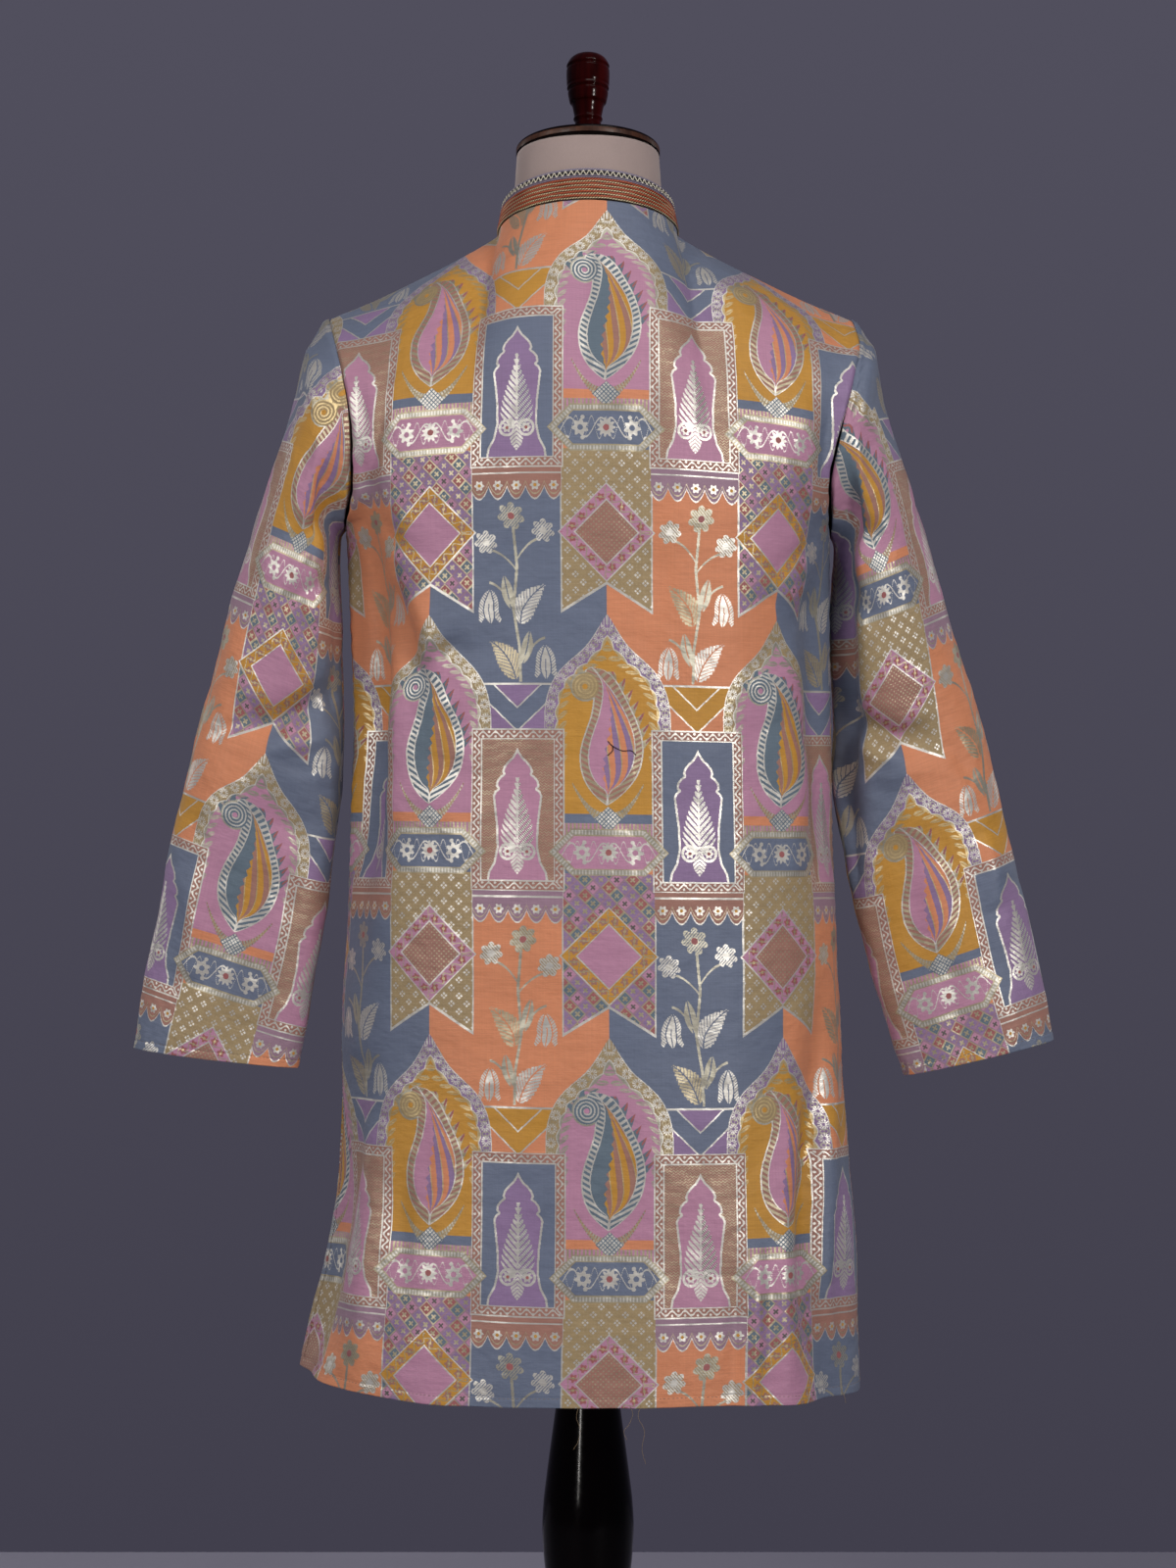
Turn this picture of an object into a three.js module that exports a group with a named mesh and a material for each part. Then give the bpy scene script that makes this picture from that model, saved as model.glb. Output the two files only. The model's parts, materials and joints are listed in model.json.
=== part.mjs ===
// A men's knee-length kurta in patterned brocade, worn by a limbless dress form on a turned pedestal.
// Millimetres, +Z up. The origin is the centre of the pedestal's foot, on the floor. The garment's front
// faces -Y, so its wearer's left sleeve is on +X.
//
// The garment is built from its cut pieces. Each cloth piece is a wall of WALL millimetres whose outer face is
// a grid of points: body panels run from the hem up to the armpit on closed sections, and from the armpit to
// the shoulder seam and neckline on columns that lean over the shoulder; sleeves run through section loops
// from the armhole to the cuff.
import * as THREE from "three";

// ---------------------------------------------------------------- driving dimensions (mm)
const WALL = 1.6; // brocade with its turned-in seam allowance
const SEAM = 0.5; // clear gap between two pieces at a seam
const HEM_Z = 550;
const HEM_LIFT = { left: 9, right: -7 }; // how much higher the hem is at each side than in the middle
const SLIT_TOP_Z = 884; // side slits run from here to the hem
const ARMPIT_Z = 1267;
const PANEL_COLS = 26; // grid columns across one body panel
const LOWER_ROWS = 15; // grid rows from hem to armpit
const UPPER_ROWS = 10; // grid rows from armpit to shoulder
const SLEEVE_COLS = 20;
const NECK = { half: 76, back: 66, front: 80, sideZ: 1517, backRise: 17, frontDrop: 60 };
const COLLAR = { half: 71, back: 61.5, front: 67, height: 26, sideRise: 22.5, frontRise: 27, wall: 2.2, gapHalf: 5 };
const BRAID = { height: 6, wall: 1.6 };
const PLACKET = { width: 38, length: 360, wall: 1.4 };
const BUTTON = { r: 6.2, thick: 3.4, count: 4 };

// Body sections: half-widths on the wearer's left and right, depth of the back and the front from the side seam,
// and how square the section is.
const BODY = [
  { z: 543, left: 242, right: 228, back: 139, front: 128, square: 2.35, slit: 13 },
  { z: 592, left: 233, right: 228, back: 138, front: 127, square: 2.35, slit: 10 },
  { z: 642, left: 223, right: 227, back: 136, front: 126, square: 2.35, slit: 8 },
  { z: 708, left: 214, right: 223, back: 134, front: 126, square: 2.3, slit: 5 },
  { z: 758, left: 210, right: 219, back: 132, front: 126, square: 2.3, slit: 3.5 },
  { z: 858, left: 208, right: 213, back: 129, front: 126, square: 2.3, slit: 0.8 },
  { z: 884, left: 207, right: 212, back: 128, front: 126, square: 2.3, slit: 0 },
  { z: 942, left: 204, right: 210, back: 127, front: 126, square: 2.3, slit: 0 },
  { z: 1025, left: 203, right: 208, back: 124, front: 127, square: 2.3, slit: 0 },
  { z: 1108, left: 200, right: 207, back: 121, front: 129, square: 2.3, slit: 0 },
  { z: 1190, left: 203, right: 206, back: 121, front: 131, square: 2.35, slit: 0 },
  { z: 1267, left: 206, right: 205, back: 124, front: 131, square: 2.45, slit: 0 },
];

// The armhole seam, from the armpit (at 0) to the shoulder tip (at 1): x and z on each side, and how far it
// stands behind and before the side seam.
const ARMHOLE = [
  { at: 0, leftX: 206, leftZ: 1267, rightX: 205, rightZ: 1262, back: 0, front: 0 },
  { at: 0.15, leftX: 202, leftZ: 1274, rightX: 202, rightZ: 1270, back: 30, front: 31 },
  { at: 0.35, leftX: 196, leftZ: 1302, rightX: 201, rightZ: 1298, back: 58, front: 56 },
  { at: 0.5, leftX: 196, leftZ: 1334, rightX: 207, rightZ: 1330, back: 69, front: 64 },
  { at: 0.65, leftX: 199, leftZ: 1364, rightX: 215, rightZ: 1360, back: 71, front: 64 },
  { at: 0.8, leftX: 206, leftZ: 1397, rightX: 223, rightZ: 1392, back: 60, front: 54 },
  { at: 0.92, leftX: 215, leftZ: 1427, rightX: 229, rightZ: 1421, back: 33, front: 30 },
  { at: 1, leftX: 222, leftZ: 1446, rightX: 226, rightZ: 1445, back: 0, front: 0 },
];

// The shoulder seam between the neck point (at 0) and the tip (at 1).
const SHOULDER = [
  { at: 0, x: 76, z: 1517 },
  { at: 0.2, x: 101, z: 1501 },
  { at: 0.5, x: 146, z: 1478.5 },
  { at: 0.8, x: 194, z: 1457 },
  { at: 1, x: 222, z: 1446 },
];
const NECK_SHARE = 0.38; // share of a panel's top edge that is neckline

// How steeply a panel's columns arrive at its top edge, in degrees above the horizontal, and the depth by which
// the column stands out, as shares of its height.
const ARRIVE = [
  { at: 0, back: 66, front: 72 },
  { at: 0.38, back: 30, front: 40 },
  { at: 0.6, back: 12, front: 16 },
  { at: 1, back: 4, front: 6 },
];

// Soft folds of the body: which panel, where it runs (share of the half-width, + on the wearer's left) at its
// top and its foot, its z range, its half-width as a share, and its height (a trough is negative).
const FOLDS = [
  { panel: "back", top: 0.78, foot: 0.82, from: 880, to: 1285, wide: 0.11, high: -15 },
  { panel: "back", top: 0.9, foot: 0.56, from: 1090, to: 1330, wide: 0.1, high: -9 },
  { panel: "back", top: 0.84, foot: 0.9, from: 550, to: 800, wide: 0.1, high: -12 },
  { panel: "back", top: 0.48, foot: 0.42, from: 550, to: 700, wide: 0.1, high: 5 },
  { panel: "back", top: -0.8, foot: -0.84, from: 960, to: 1280, wide: 0.11, high: -10 },
  { panel: "back", top: -0.7, foot: -0.75, from: 550, to: 800, wide: 0.09, high: -11 },
  { panel: "back", top: -0.58, foot: -0.6, from: 550, to: 720, wide: 0.09, high: 6 },
  { panel: "front", top: 0.76, foot: 0.8, from: 900, to: 1270, wide: 0.11, high: -10 },
  { panel: "front", top: 0.62, foot: 0.7, from: 550, to: 880, wide: 0.11, high: -12 },
  { panel: "front", top: -0.74, foot: -0.68, from: 550, to: 940, wide: 0.12, high: -12 },
  { panel: "front", top: 0.36, foot: 0.4, from: 550, to: 820, wide: 0.1, high: 6 },
  { panel: "front", top: -0.34, foot: -0.42, from: 550, to: 780, wide: 0.1, high: 5 },
];

// Sleeve section loops after the armhole: the outer edge, the inner (underarm) edge, and half the thickness
// between the back and the front of the empty sleeve.
const SLEEVE = {
  left: [
    { outX: 238, outZ: 1424, outY: -1, inX: 210, inZ: 1256, inY: 0, thick: 69 },
    { outX: 252, outZ: 1370, outY: -3, inX: 212, inZ: 1226, inY: 0, thick: 64 },
    { outX: 278, outZ: 1284, outY: -4, inX: 209.5, inZ: 1175, inY: -2, thick: 55 },
    { outX: 305, outZ: 1199, outY: -6, inX: 209, inZ: 1112, inY: -4, thick: 47 },
    { outX: 328, outZ: 1113, outY: -8, inX: 210, inZ: 1046, inY: -6, thick: 40 },
    { outX: 349, outZ: 1030, outY: -9, inX: 217, inZ: 982, inY: -7, thick: 34 },
    { outX: 365, outZ: 954, outY: -10, inX: 227, inZ: 922, inY: -8, thick: 30 },
    { outX: 378, outZ: 886, outY: -10, inX: 237, inZ: 864, inY: -8, thick: 27 },
    { outX: 387, outZ: 824, outY: -10, inX: 249, inZ: 808, inY: -8, thick: 25 },
  ],
  right: [
    { outX: 239, outZ: 1424, outY: -1, inX: 209, inZ: 1252, inY: 0, thick: 69 },
    { outX: 253, outZ: 1370, outY: -3, inX: 212, inZ: 1222, inY: 0, thick: 64 },
    { outX: 280, outZ: 1284, outY: -4, inX: 210.5, inZ: 1172, inY: -2, thick: 55 },
    { outX: 306, outZ: 1200, outY: -6, inX: 211.5, inZ: 1108, inY: -4, thick: 46 },
    { outX: 331, outZ: 1115, outY: -8, inX: 212.5, inZ: 1042, inY: -6, thick: 38 },
    { outX: 353, outZ: 1035, outY: -9, inX: 220, inZ: 978, inY: -7, thick: 32 },
    { outX: 371, outZ: 960, outY: -10, inX: 233, inZ: 918, inY: -8, thick: 28 },
    { outX: 386, outZ: 892, outY: -10, inX: 250, inZ: 858, inY: -8, thick: 26 },
    { outX: 397, outZ: 832, outY: -10, inX: 269, inZ: 802, inY: -8, thick: 25 },
  ],
};

// The dress form: padded torso and neck, all inside the garment up to the collar.
const FORM = [
  { z: 792, half: 128, back: 82, front: 80, y: 0 },
  { z: 800, half: 150, back: 98, front: 96, y: 0 },
  { z: 880, half: 165, back: 108, front: 104, y: 0 },
  { z: 960, half: 160, back: 104, front: 104, y: 0 },
  { z: 1060, half: 146, back: 92, front: 100, y: 0 },
  { z: 1160, half: 156, back: 100, front: 110, y: 0 },
  { z: 1260, half: 172, back: 110, front: 116, y: 0 },
  { z: 1340, half: 178, back: 106, front: 104, y: 0 },
  { z: 1395, half: 178, back: 92, front: 84, y: 0 },
  { z: 1425, half: 166, back: 80, front: 70, y: 0 },
  { z: 1446, half: 138, back: 70, front: 60, y: 0 },
  { z: 1466, half: 104, back: 61, front: 55, y: 0 },
  { z: 1486, half: 80, back: 57, front: 53, y: 0 },
  { z: 1506, half: 67, back: 56.5, front: 53, y: 0 },
  { z: 1530, half: 63, back: 56, front: 55, y: -1 },
  { z: 1560, half: 62, back: 56, front: 57, y: -2 },
  { z: 1582, half: 60.6, back: 56, front: 58, y: -3 },
];
const CAP_TILT = 8.5; // degrees that the neck block and its cap lean to the front
const CAP = { half: 61.2, deep: 57.6, bottom: 1583, thick: 9 };

// Turned profiles: radius at each height.
const FINIAL = [
  { z: 0, r: 13.5 }, { z: 6, r: 11.2 }, { z: 14, r: 10.8 }, { z: 22, r: 11.6 }, { z: 24, r: 12.4 }, { z: 26, r: 11.8 },
  { z: 31, r: 12.6 }, { z: 36, r: 13.8 }, { z: 37.5, r: 15.2 }, { z: 42, r: 16.4 }, { z: 47, r: 17.2 }, { z: 49, r: 16.7 },
  { z: 51, r: 17.7 }, { z: 56, r: 18.2 }, { z: 63, r: 18.5 }, { z: 67, r: 18.4 }, { z: 69, r: 17.7 }, { z: 71, r: 18.1 },
  { z: 75, r: 16.6 }, { z: 79, r: 12.8 }, { z: 81.5, r: 6.5 },
];
const POST = [
  { z: 42, r: 46 }, { z: 52, r: 47 }, { z: 60, r: 42 }, { z: 74, r: 33 }, { z: 110, r: 25 }, { z: 160, r: 20 },
  { z: 190, r: 19 }, { z: 196, r: 25 }, { z: 206, r: 27 }, { z: 216, r: 25 }, { z: 222, r: 19.5 }, { z: 250, r: 20 },
  { z: 290, r: 23.5 }, { z: 330, r: 29 }, { z: 360, r: 33.4 }, { z: 383, r: 36.5 }, { z: 400, r: 38.1 }, { z: 421, r: 38.9 },
  { z: 440, r: 37.9 }, { z: 460, r: 35.6 }, { z: 480, r: 33 }, { z: 500, r: 30.3 }, { z: 525, r: 27 }, { z: 560, r: 23.4 },
  { z: 610, r: 20 }, { z: 655, r: 19 }, { z: 662, r: 24 }, { z: 672, r: 26 }, { z: 682, r: 24 }, { z: 690, r: 20 },
  { z: 740, r: 22 }, { z: 780, r: 30 }, { z: 791, r: 34 },
];
const FOOT = [
  { z: 0, r: 188 }, { z: 10, r: 193 }, { z: 20, r: 191 }, { z: 27, r: 180 }, { z: 31, r: 150 }, { z: 36, r: 95 }, { z: 41.4, r: 62 },
];

// ---------------------------------------------------------------- interpolation
// Monotone cubic through a table's rows: no overshoot between them.
function along(rows, key, col, at) {
  const n = rows.length;
  if (at <= rows[0][key]) return rows[0][col];
  if (at >= rows[n - 1][key]) return rows[n - 1][col];
  let i = 0;
  while (at > rows[i + 1][key]) i++;
  const step = (k) => rows[k + 1][key] - rows[k][key];
  const slope = (k) => (rows[k + 1][col] - rows[k][col]) / step(k);
  const tangent = (k) => {
    if (k === 0) return slope(0);
    if (k === n - 1) return slope(n - 2);
    const a = slope(k - 1), b = slope(k);
    return a * b <= 0 ? 0 : (3 * (step(k - 1) + step(k))) / ((2 * step(k) + step(k - 1)) / a + (step(k) + 2 * step(k - 1)) / b);
  };
  const h = step(i), t = (at - rows[i][key]) / h, t2 = t * t, t3 = t2 * t;
  return (2 * t3 - 3 * t2 + 1) * rows[i][col] + (t3 - 2 * t2 + t) * h * tangent(i)
    + (-2 * t3 + 3 * t2) * rows[i + 1][col] + (t3 - t2) * h * tangent(i + 1);
}
const smooth = (a, b, x) => {
  const t = Math.min(1, Math.max(0, (x - a) / (b - a)));
  return t * t * (3 - 2 * t);
};
const mix = (a, b, t) => a + (b - a) * t;
const V = (x, y, z) => new THREE.Vector3(x, y, z);

// A quarter of a squared ellipse, from (0, b) to (a, 0), at a share of its length.
function quarter(a, b, square, share) {
  const N = 60, pts = [];
  for (let i = 0; i <= N; i++) {
    const p = (i / N) * Math.PI / 2;
    pts.push([a * Math.sin(p) ** (2 / square), b * Math.max(0, Math.cos(p)) ** (2 / square)]);
  }
  const len = [0];
  for (let i = 1; i <= N; i++) len.push(len[i - 1] + Math.hypot(pts[i][0] - pts[i - 1][0], pts[i][1] - pts[i - 1][1]));
  const want = share * len[N];
  let i = 1;
  while (i < N && len[i] < want) i++;
  const t = (want - len[i - 1]) / (len[i] - len[i - 1] || 1);
  return [mix(pts[i - 1][0], pts[i][0], t), mix(pts[i - 1][1], pts[i][1], t)];
}

// ---------------------------------------------------------------- body panels
function foldDepth(panel, h, z) {
  let d = 0;
  for (const f of FOLDS) {
    if (f.panel !== panel || z > f.to) continue;
    const s = (f.to - z) / (f.to - f.from), mid = mix(f.top, f.foot, Math.min(1, s));
    const e = (h - mid) / f.wide;
    const fade = f.from > HEM_Z + 5 ? Math.sin(Math.PI * Math.min(1, Math.max(0, s))) : smooth(0, 0.75, s);
    d += f.high * fade * Math.exp(-e * e);
  }
  return d;
}

// A point of a panel below the armpit. h runs from 1 at the wearer's left side seam to -1 at the right.
function lowerPoint(panel, h, z) {
  const side = panel === "back" ? 1 : -1;
  const half = along(BODY, "z", h >= 0 ? "left" : "right", z);
  const gap = SEAM / 2 + along(BODY, "z", "slit", z);
  const depth = along(BODY, "z", panel, z) - gap;
  const square = along(BODY, "z", "square", z);
  const [x, y] = quarter(half, depth, square, Math.abs(h));
  const n = new THREE.Vector2(x / (half * half), y / (depth * depth)).normalize();
  const d = foldDepth(panel, h, z);
  return V(Math.sign(h) * (x + n.x * d), side * (gap + y + n.y * d), z);
}

// The top edge of a panel: neckline for |h| up to NECK_SHARE, then shoulder seam.
function topPoint(panel, h) {
  const a = Math.abs(h), s = Math.sign(h) || 1, side = panel === "back" ? 1 : -1;
  if (a <= NECK_SHARE) {
    const p = (a / NECK_SHARE) * Math.PI / 2;
    const z = panel === "back" ? NECK.sideZ + NECK.backRise * Math.cos(p) : NECK.sideZ - NECK.frontDrop * Math.cos(p) ** 1.3;
    return V(s * NECK.half * Math.sin(p), side * (SEAM / 2 + (panel === "back" ? NECK.back : NECK.front) * Math.cos(p)), z);
  }
  const t = (a - NECK_SHARE) / (1 - NECK_SHARE), tip = s > 0 ? 0 : 4;
  return V(s * (along(SHOULDER, "at", "x", t) + tip * t), side * (SEAM / 2), along(SHOULDER, "at", "z", t));
}

function armholePoint(panel, left, t) {
  const s = left ? 1 : -1, side = panel === "back" ? 1 : -1;
  return V(
    s * along(ARMHOLE, "at", left ? "leftX" : "rightX", t),
    side * (SEAM / 2 + along(ARMHOLE, "at", panel, t)),
    along(ARMHOLE, "at", left ? "leftZ" : "rightZ", t),
  );
}

function upperPoint(panel, h, t) {
  const side = panel === "back" ? 1 : -1, a = Math.abs(h);
  const column = (g, u) => {
    const p0 = lowerPoint(panel, g, ARMPIT_Z), p3 = topPoint(panel, g), rise = p3.z - p0.z;
    const angle = THREE.MathUtils.degToRad(along(ARRIVE, "at", panel, Math.abs(g)));
    const p1 = V(mix(p0.x, p3.x, 0.12), p0.y, p0.z + rise * 0.5);
    const reach = rise * 0.42;
    const p2 = V(mix(p0.x, p3.x, 0.8), p3.y + side * reach * Math.cos(angle), p3.z - reach * Math.sin(angle));
    return new THREE.CubicBezierCurve3(p0, p1, p2, p3).getPoint(u);
  };
  const p = column(h, t);
  const s = h >= 0 ? 1 : -1;
  const pull = smooth(0.45, 1, a);
  const off = armholePoint(panel, s > 0, t).sub(column(s, t));
  return p.add(off.multiplyScalar(pull));
}

function panelGrid(panel) {
  const rows = [];
  const across = Array.from({ length: PANEL_COLS + 1 }, (_, i) => 1 - (2 * i) / PANEL_COLS);
  for (let k = 0; k <= LOWER_ROWS; k++) {
    rows.push(across.map((h) => {
      const hem = HEM_Z + smooth(0.25, 1, Math.abs(h)) * HEM_LIFT[h > 0 ? "left" : "right"];
      return lowerPoint(panel, h, mix(hem, ARMPIT_Z, k / LOWER_ROWS));
    }));
  }
  for (let k = 1; k <= UPPER_ROWS; k++) {
    const t = (k / UPPER_ROWS) ** 1.05;
    rows.push(across.map((h) => upperPoint(panel, h, t)));
  }
  return rows;
}

// ---------------------------------------------------------------- sleeves
// Loop angle runs from the underarm seam (0) behind the sleeve to its outer edge (half way) and back in front.
function sleeveLoop(left, k, turn) {
  const s = left ? 1 : -1;
  if (k === 0) {
    const back = turn <= 0.5, t = back ? turn * 2 : 2 - turn * 2;
    const p = armholePoint(back ? "back" : "front", left, t);
    p.x += s * (SEAM + 2.2);
    p.z += 1.2 * smooth(0.5, 1, t) - 0.4;
    return p;
  }
  const r = SLEEVE[left ? "left" : "right"][k - 1];
  const a = turn * 2 * Math.PI, c = -Math.cos(a), n = Math.sin(a);
  const mid = V((r.outX + r.inX) / 2, (r.outY + r.inY) / 2, (r.outZ + r.inZ) / 2);
  const arm = V((r.outX - r.inX) / 2, (r.outY - r.inY) / 2, (r.outZ - r.inZ) / 2);
  const p = mid.add(arm.multiplyScalar(Math.sign(c) * Math.abs(c) ** 0.95));
  p.y += r.thick * Math.sign(n) * Math.abs(n) ** 0.95;
  return V(s * p.x, p.y, p.z);
}

function sleeveGrid(left) {
  const loops = SLEEVE.left.length + 1;
  return Array.from({ length: loops }, (_, k) =>
    Array.from({ length: SLEEVE_COLS }, (_, i) => sleeveLoop(left, k, i / SLEEVE_COLS)));
}

// ---------------------------------------------------------------- collar, placket
// The band collar's foot and top, from the gap at the centre front round the neck. turn is 0 and 1 at the gap.
function collarRing(share, turn, out) {
  const gap = COLLAR.gapHalf / 420, a = Math.PI * 2 * mix(gap, 1 - gap, turn); // 0 is the centre front
  const back = Math.max(0, -Math.cos(a)), front = Math.max(0, Math.cos(a));
  const foot = V(NECK.half * Math.sin(a), back * NECK.back - front * NECK.front,
    NECK.sideZ + NECK.backRise * back - NECK.frontDrop * front ** 1.3);
  const top = V(COLLAR.half * Math.sin(a), back * COLLAR.back - front * COLLAR.front,
    NECK.sideZ + mix(COLLAR.sideRise, COLLAR.height, back) + NECK.backRise * back * 0.98
      - NECK.frontDrop * front ** 1.3 + (COLLAR.frontRise - COLLAR.sideRise) * front);
  const p = foot.clone().lerp(top, share);
  const n = V(Math.sin(a) / NECK.half, -Math.cos(a) / NECK.back, 0).normalize();
  return p.addScaledVector(n, out).add(V(0, 0, SEAM + 0.6 + 1.4 * front));
}

function collarGrid(from, to, rows, out, cols = 40) {
  return Array.from({ length: rows + 1 }, (_, k) =>
    Array.from({ length: cols + 1 }, (_, i) => collarRing(mix(from, to, k / rows), i / cols, out)));
}

// ---------------------------------------------------------------- walls from grids
// A wall between a grid of points and its copy moved in by the wall's thickness. loop joins the last column to
// the first. flip turns the inward side round.
function wallOf(grid, thick, { loop = false, flip = false, keep = (p) => p } = {}) {
  const R = grid.length, C = grid[0].length;
  const at = (r, c) => grid[Math.min(R - 1, Math.max(0, r))][loop ? (c + C) % C : Math.min(C - 1, Math.max(0, c))];
  const inner = grid.map((row, r) => row.map((p, c) => {
    const across = at(r, c + 1).clone().sub(at(r, c - 1)), up = at(r + 1, c).clone().sub(at(r - 1, c));
    const n = across.cross(up).normalize().multiplyScalar(flip ? -thick : thick);
    return keep(p.clone().add(n));
  }));
  const pos = [], index = [];
  for (const g of [grid, inner]) for (const row of g) for (const p of row) pos.push(p.x, p.y, p.z);
  const o = (r, c) => r * C + (loop ? c % C : c), i = (r, c) => R * C + o(r, c);
  const quad = (a, b, c, d) => index.push(a, b, c, a, c, d);
  const last = loop ? C : C - 1;
  for (let r = 0; r < R - 1; r++)
    for (let c = 0; c < last; c++) {
      quad(o(r, c), o(r, c + 1), o(r + 1, c + 1), o(r + 1, c));
      quad(i(r, c), i(r + 1, c), i(r + 1, c + 1), i(r, c + 1));
    }
  for (let c = 0; c < last; c++) {
    quad(o(0, c), i(0, c), i(0, c + 1), o(0, c + 1));
    quad(o(R - 1, c), o(R - 1, c + 1), i(R - 1, c + 1), i(R - 1, c));
  }
  if (!loop)
    for (let r = 0; r < R - 1; r++) {
      quad(o(r, 0), o(r + 1, 0), i(r + 1, 0), i(r, 0));
      quad(o(r, C - 1), i(r, C - 1), i(r + 1, C - 1), o(r + 1, C - 1));
    }
  return outward(pos, index);
}

function outward(pos, index) {
  let volume = 0;
  const a = new THREE.Vector3(), b = new THREE.Vector3(), c = new THREE.Vector3();
  for (let k = 0; k < index.length; k += 3) {
    a.fromArray(pos, index[k] * 3); b.fromArray(pos, index[k + 1] * 3); c.fromArray(pos, index[k + 2] * 3);
    volume += a.dot(b.cross(c));
  }
  if (volume < 0) for (let k = 0; k < index.length; k += 3) [index[k + 1], index[k + 2]] = [index[k + 2], index[k + 1]];
  const g = new THREE.BufferGeometry();
  g.setAttribute("position", new THREE.Float32BufferAttribute(pos, 3));
  g.setIndex(index);
  g.computeVertexNormals();
  return g;
}

// A closed body through rings of points, ended by a fan at each end.
function loft(rings) {
  const C = rings[0].length, pos = [], index = [];
  for (const ring of rings) for (const p of ring) pos.push(p.x, p.y, p.z);
  const id = (r, c) => r * C + (c % C);
  for (let r = 0; r < rings.length - 1; r++)
    for (let c = 0; c < C; c++) index.push(id(r, c), id(r, c + 1), id(r + 1, c + 1), id(r, c), id(r + 1, c + 1), id(r + 1, c));
  for (const [r, turn] of [[0, false], [rings.length - 1, true]]) {
    const mid = rings[r].reduce((m, p) => m.add(p), V(0, 0, 0)).divideScalar(C);
    const m = pos.length / 3;
    pos.push(mid.x, mid.y, mid.z);
    for (let c = 0; c < C; c++) turn ? index.push(m, id(r, c), id(r, c + 1)) : index.push(m, id(r, c + 1), id(r, c));
  }
  return outward(pos, index);
}

function turned(profile, segments = 32) {
  const rings = profile.map(({ z, r }) => Array.from({ length: segments }, (_, i) => {
    const a = (i / segments) * 2 * Math.PI;
    return V(r * Math.cos(a), r * Math.sin(a), z);
  }));
  return loft(rings);
}

// ---------------------------------------------------------------- dress form
const lean = (p) => {
  // the top of the neck leans to the front
  const share = smooth(1530, 1582, p.z);
  p.z -= share * Math.tan(THREE.MathUtils.degToRad(CAP_TILT)) * -p.y;
  return p;
};
const formRings = FORM.map((f) => Array.from({ length: 32 }, (_, i) => {
  const a = (i / 32) * 2 * Math.PI, c = Math.cos(a), n = Math.sin(a), e = 0.88;
  const y = (n >= 0 ? f.back : f.front) * Math.sign(n) * Math.abs(n) ** e;
  return lean(V(f.half * Math.sign(c) * Math.abs(c) ** e, f.y + y, f.z));
}));
const capProfile = [[0, 0.985], [1.5, 1], [CAP.thick - 2.5, 1], [CAP.thick - 0.8, 0.975], [CAP.thick, 0.9], [CAP.thick + 0.8, 0.5]];
const capRings = capProfile.map(([z, share]) => Array.from({ length: 32 }, (_, i) => {
  const a = (i / 32) * 2 * Math.PI;
  return V(CAP.half * share * Math.cos(a), CAP.deep * share * Math.sin(a), z);
}));

// ---------------------------------------------------------------- front closing
// The placket lies on the front panel's own points, moved out.
function frontPoint(x, down) {
  // down: length below the neckline at the centre front
  const top = topPoint("front", 0).z - 2, z = top - down;
  const h = x / 290; // near the middle a share of a panel spans about this many millimetres
  if (z <= ARMPIT_Z) return lowerPoint("front", h, z);
  let lo = 0, hi = 1;
  for (let k = 0; k < 30; k++) {
    const m = (lo + hi) / 2;
    if (upperPoint("front", h, m).z < z) lo = m; else hi = m;
  }
  return upperPoint("front", h, (lo + hi) / 2);
}
const placketGrid = Array.from({ length: 15 }, (_, r) =>
  Array.from({ length: 5 }, (_, c) => {
    const p = frontPoint(mix(PLACKET.width / 2, -PLACKET.width / 2, c / 4), (PLACKET.length * (14 - r)) / 14 + 3);
    return p.add(V(0, -(PLACKET.wall + 0.9), 0));
  }));

// ---------------------------------------------------------------- assembly
const brocade = new THREE.MeshStandardMaterial({ color: 0xb08a80, roughness: 0.55, metalness: 0.15 });
const band = new THREE.MeshStandardMaterial({ color: 0xb4663e, roughness: 0.6, metalness: 0.2 });
const braid = new THREE.MeshStandardMaterial({ color: 0x9a9684, roughness: 0.45, metalness: 0.5 });
const metal = new THREE.MeshStandardMaterial({ color: 0xb9a070, roughness: 0.35, metalness: 0.9 });
const jersey = new THREE.MeshStandardMaterial({ color: 0xcbb9ae, roughness: 0.9, metalness: 0 });
const mahogany = new THREE.MeshStandardMaterial({ color: 0x2a0806, roughness: 0.2, metalness: 0 });

const group = new THREE.Group();
function add(name, geometry, material, place) {
  const m = new THREE.Mesh(geometry, material);
  m.name = name;
  if (place) place(m);
  group.add(m);
  return m;
}

// each body panel keeps to its own side of the side and shoulder seams
const behind = (p) => p.setY(Math.max(p.y, SEAM / 2)), before = (p) => p.setY(Math.min(p.y, -SEAM / 2));
add("kurta_back", wallOf(panelGrid("back"), WALL, { flip: true, keep: behind }), brocade);
add("kurta_front", wallOf(panelGrid("front"), WALL, { keep: before }), brocade);
add("sleeve_left", wallOf(sleeveGrid(true), WALL, { loop: true, flip: true }), brocade);
add("sleeve_right", wallOf(sleeveGrid(false), WALL, { loop: true }), brocade);
add("collar_band", wallOf(collarGrid(0, 1, 3, 0), COLLAR.wall, { flip: true }), band);
add("collar_braid", wallOf(collarGrid(1 - BRAID.height / COLLAR.height, 1, 2, BRAID.wall + 0.7), BRAID.wall, { flip: true }), braid);
add("placket", wallOf(placketGrid, PLACKET.wall), brocade);
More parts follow.
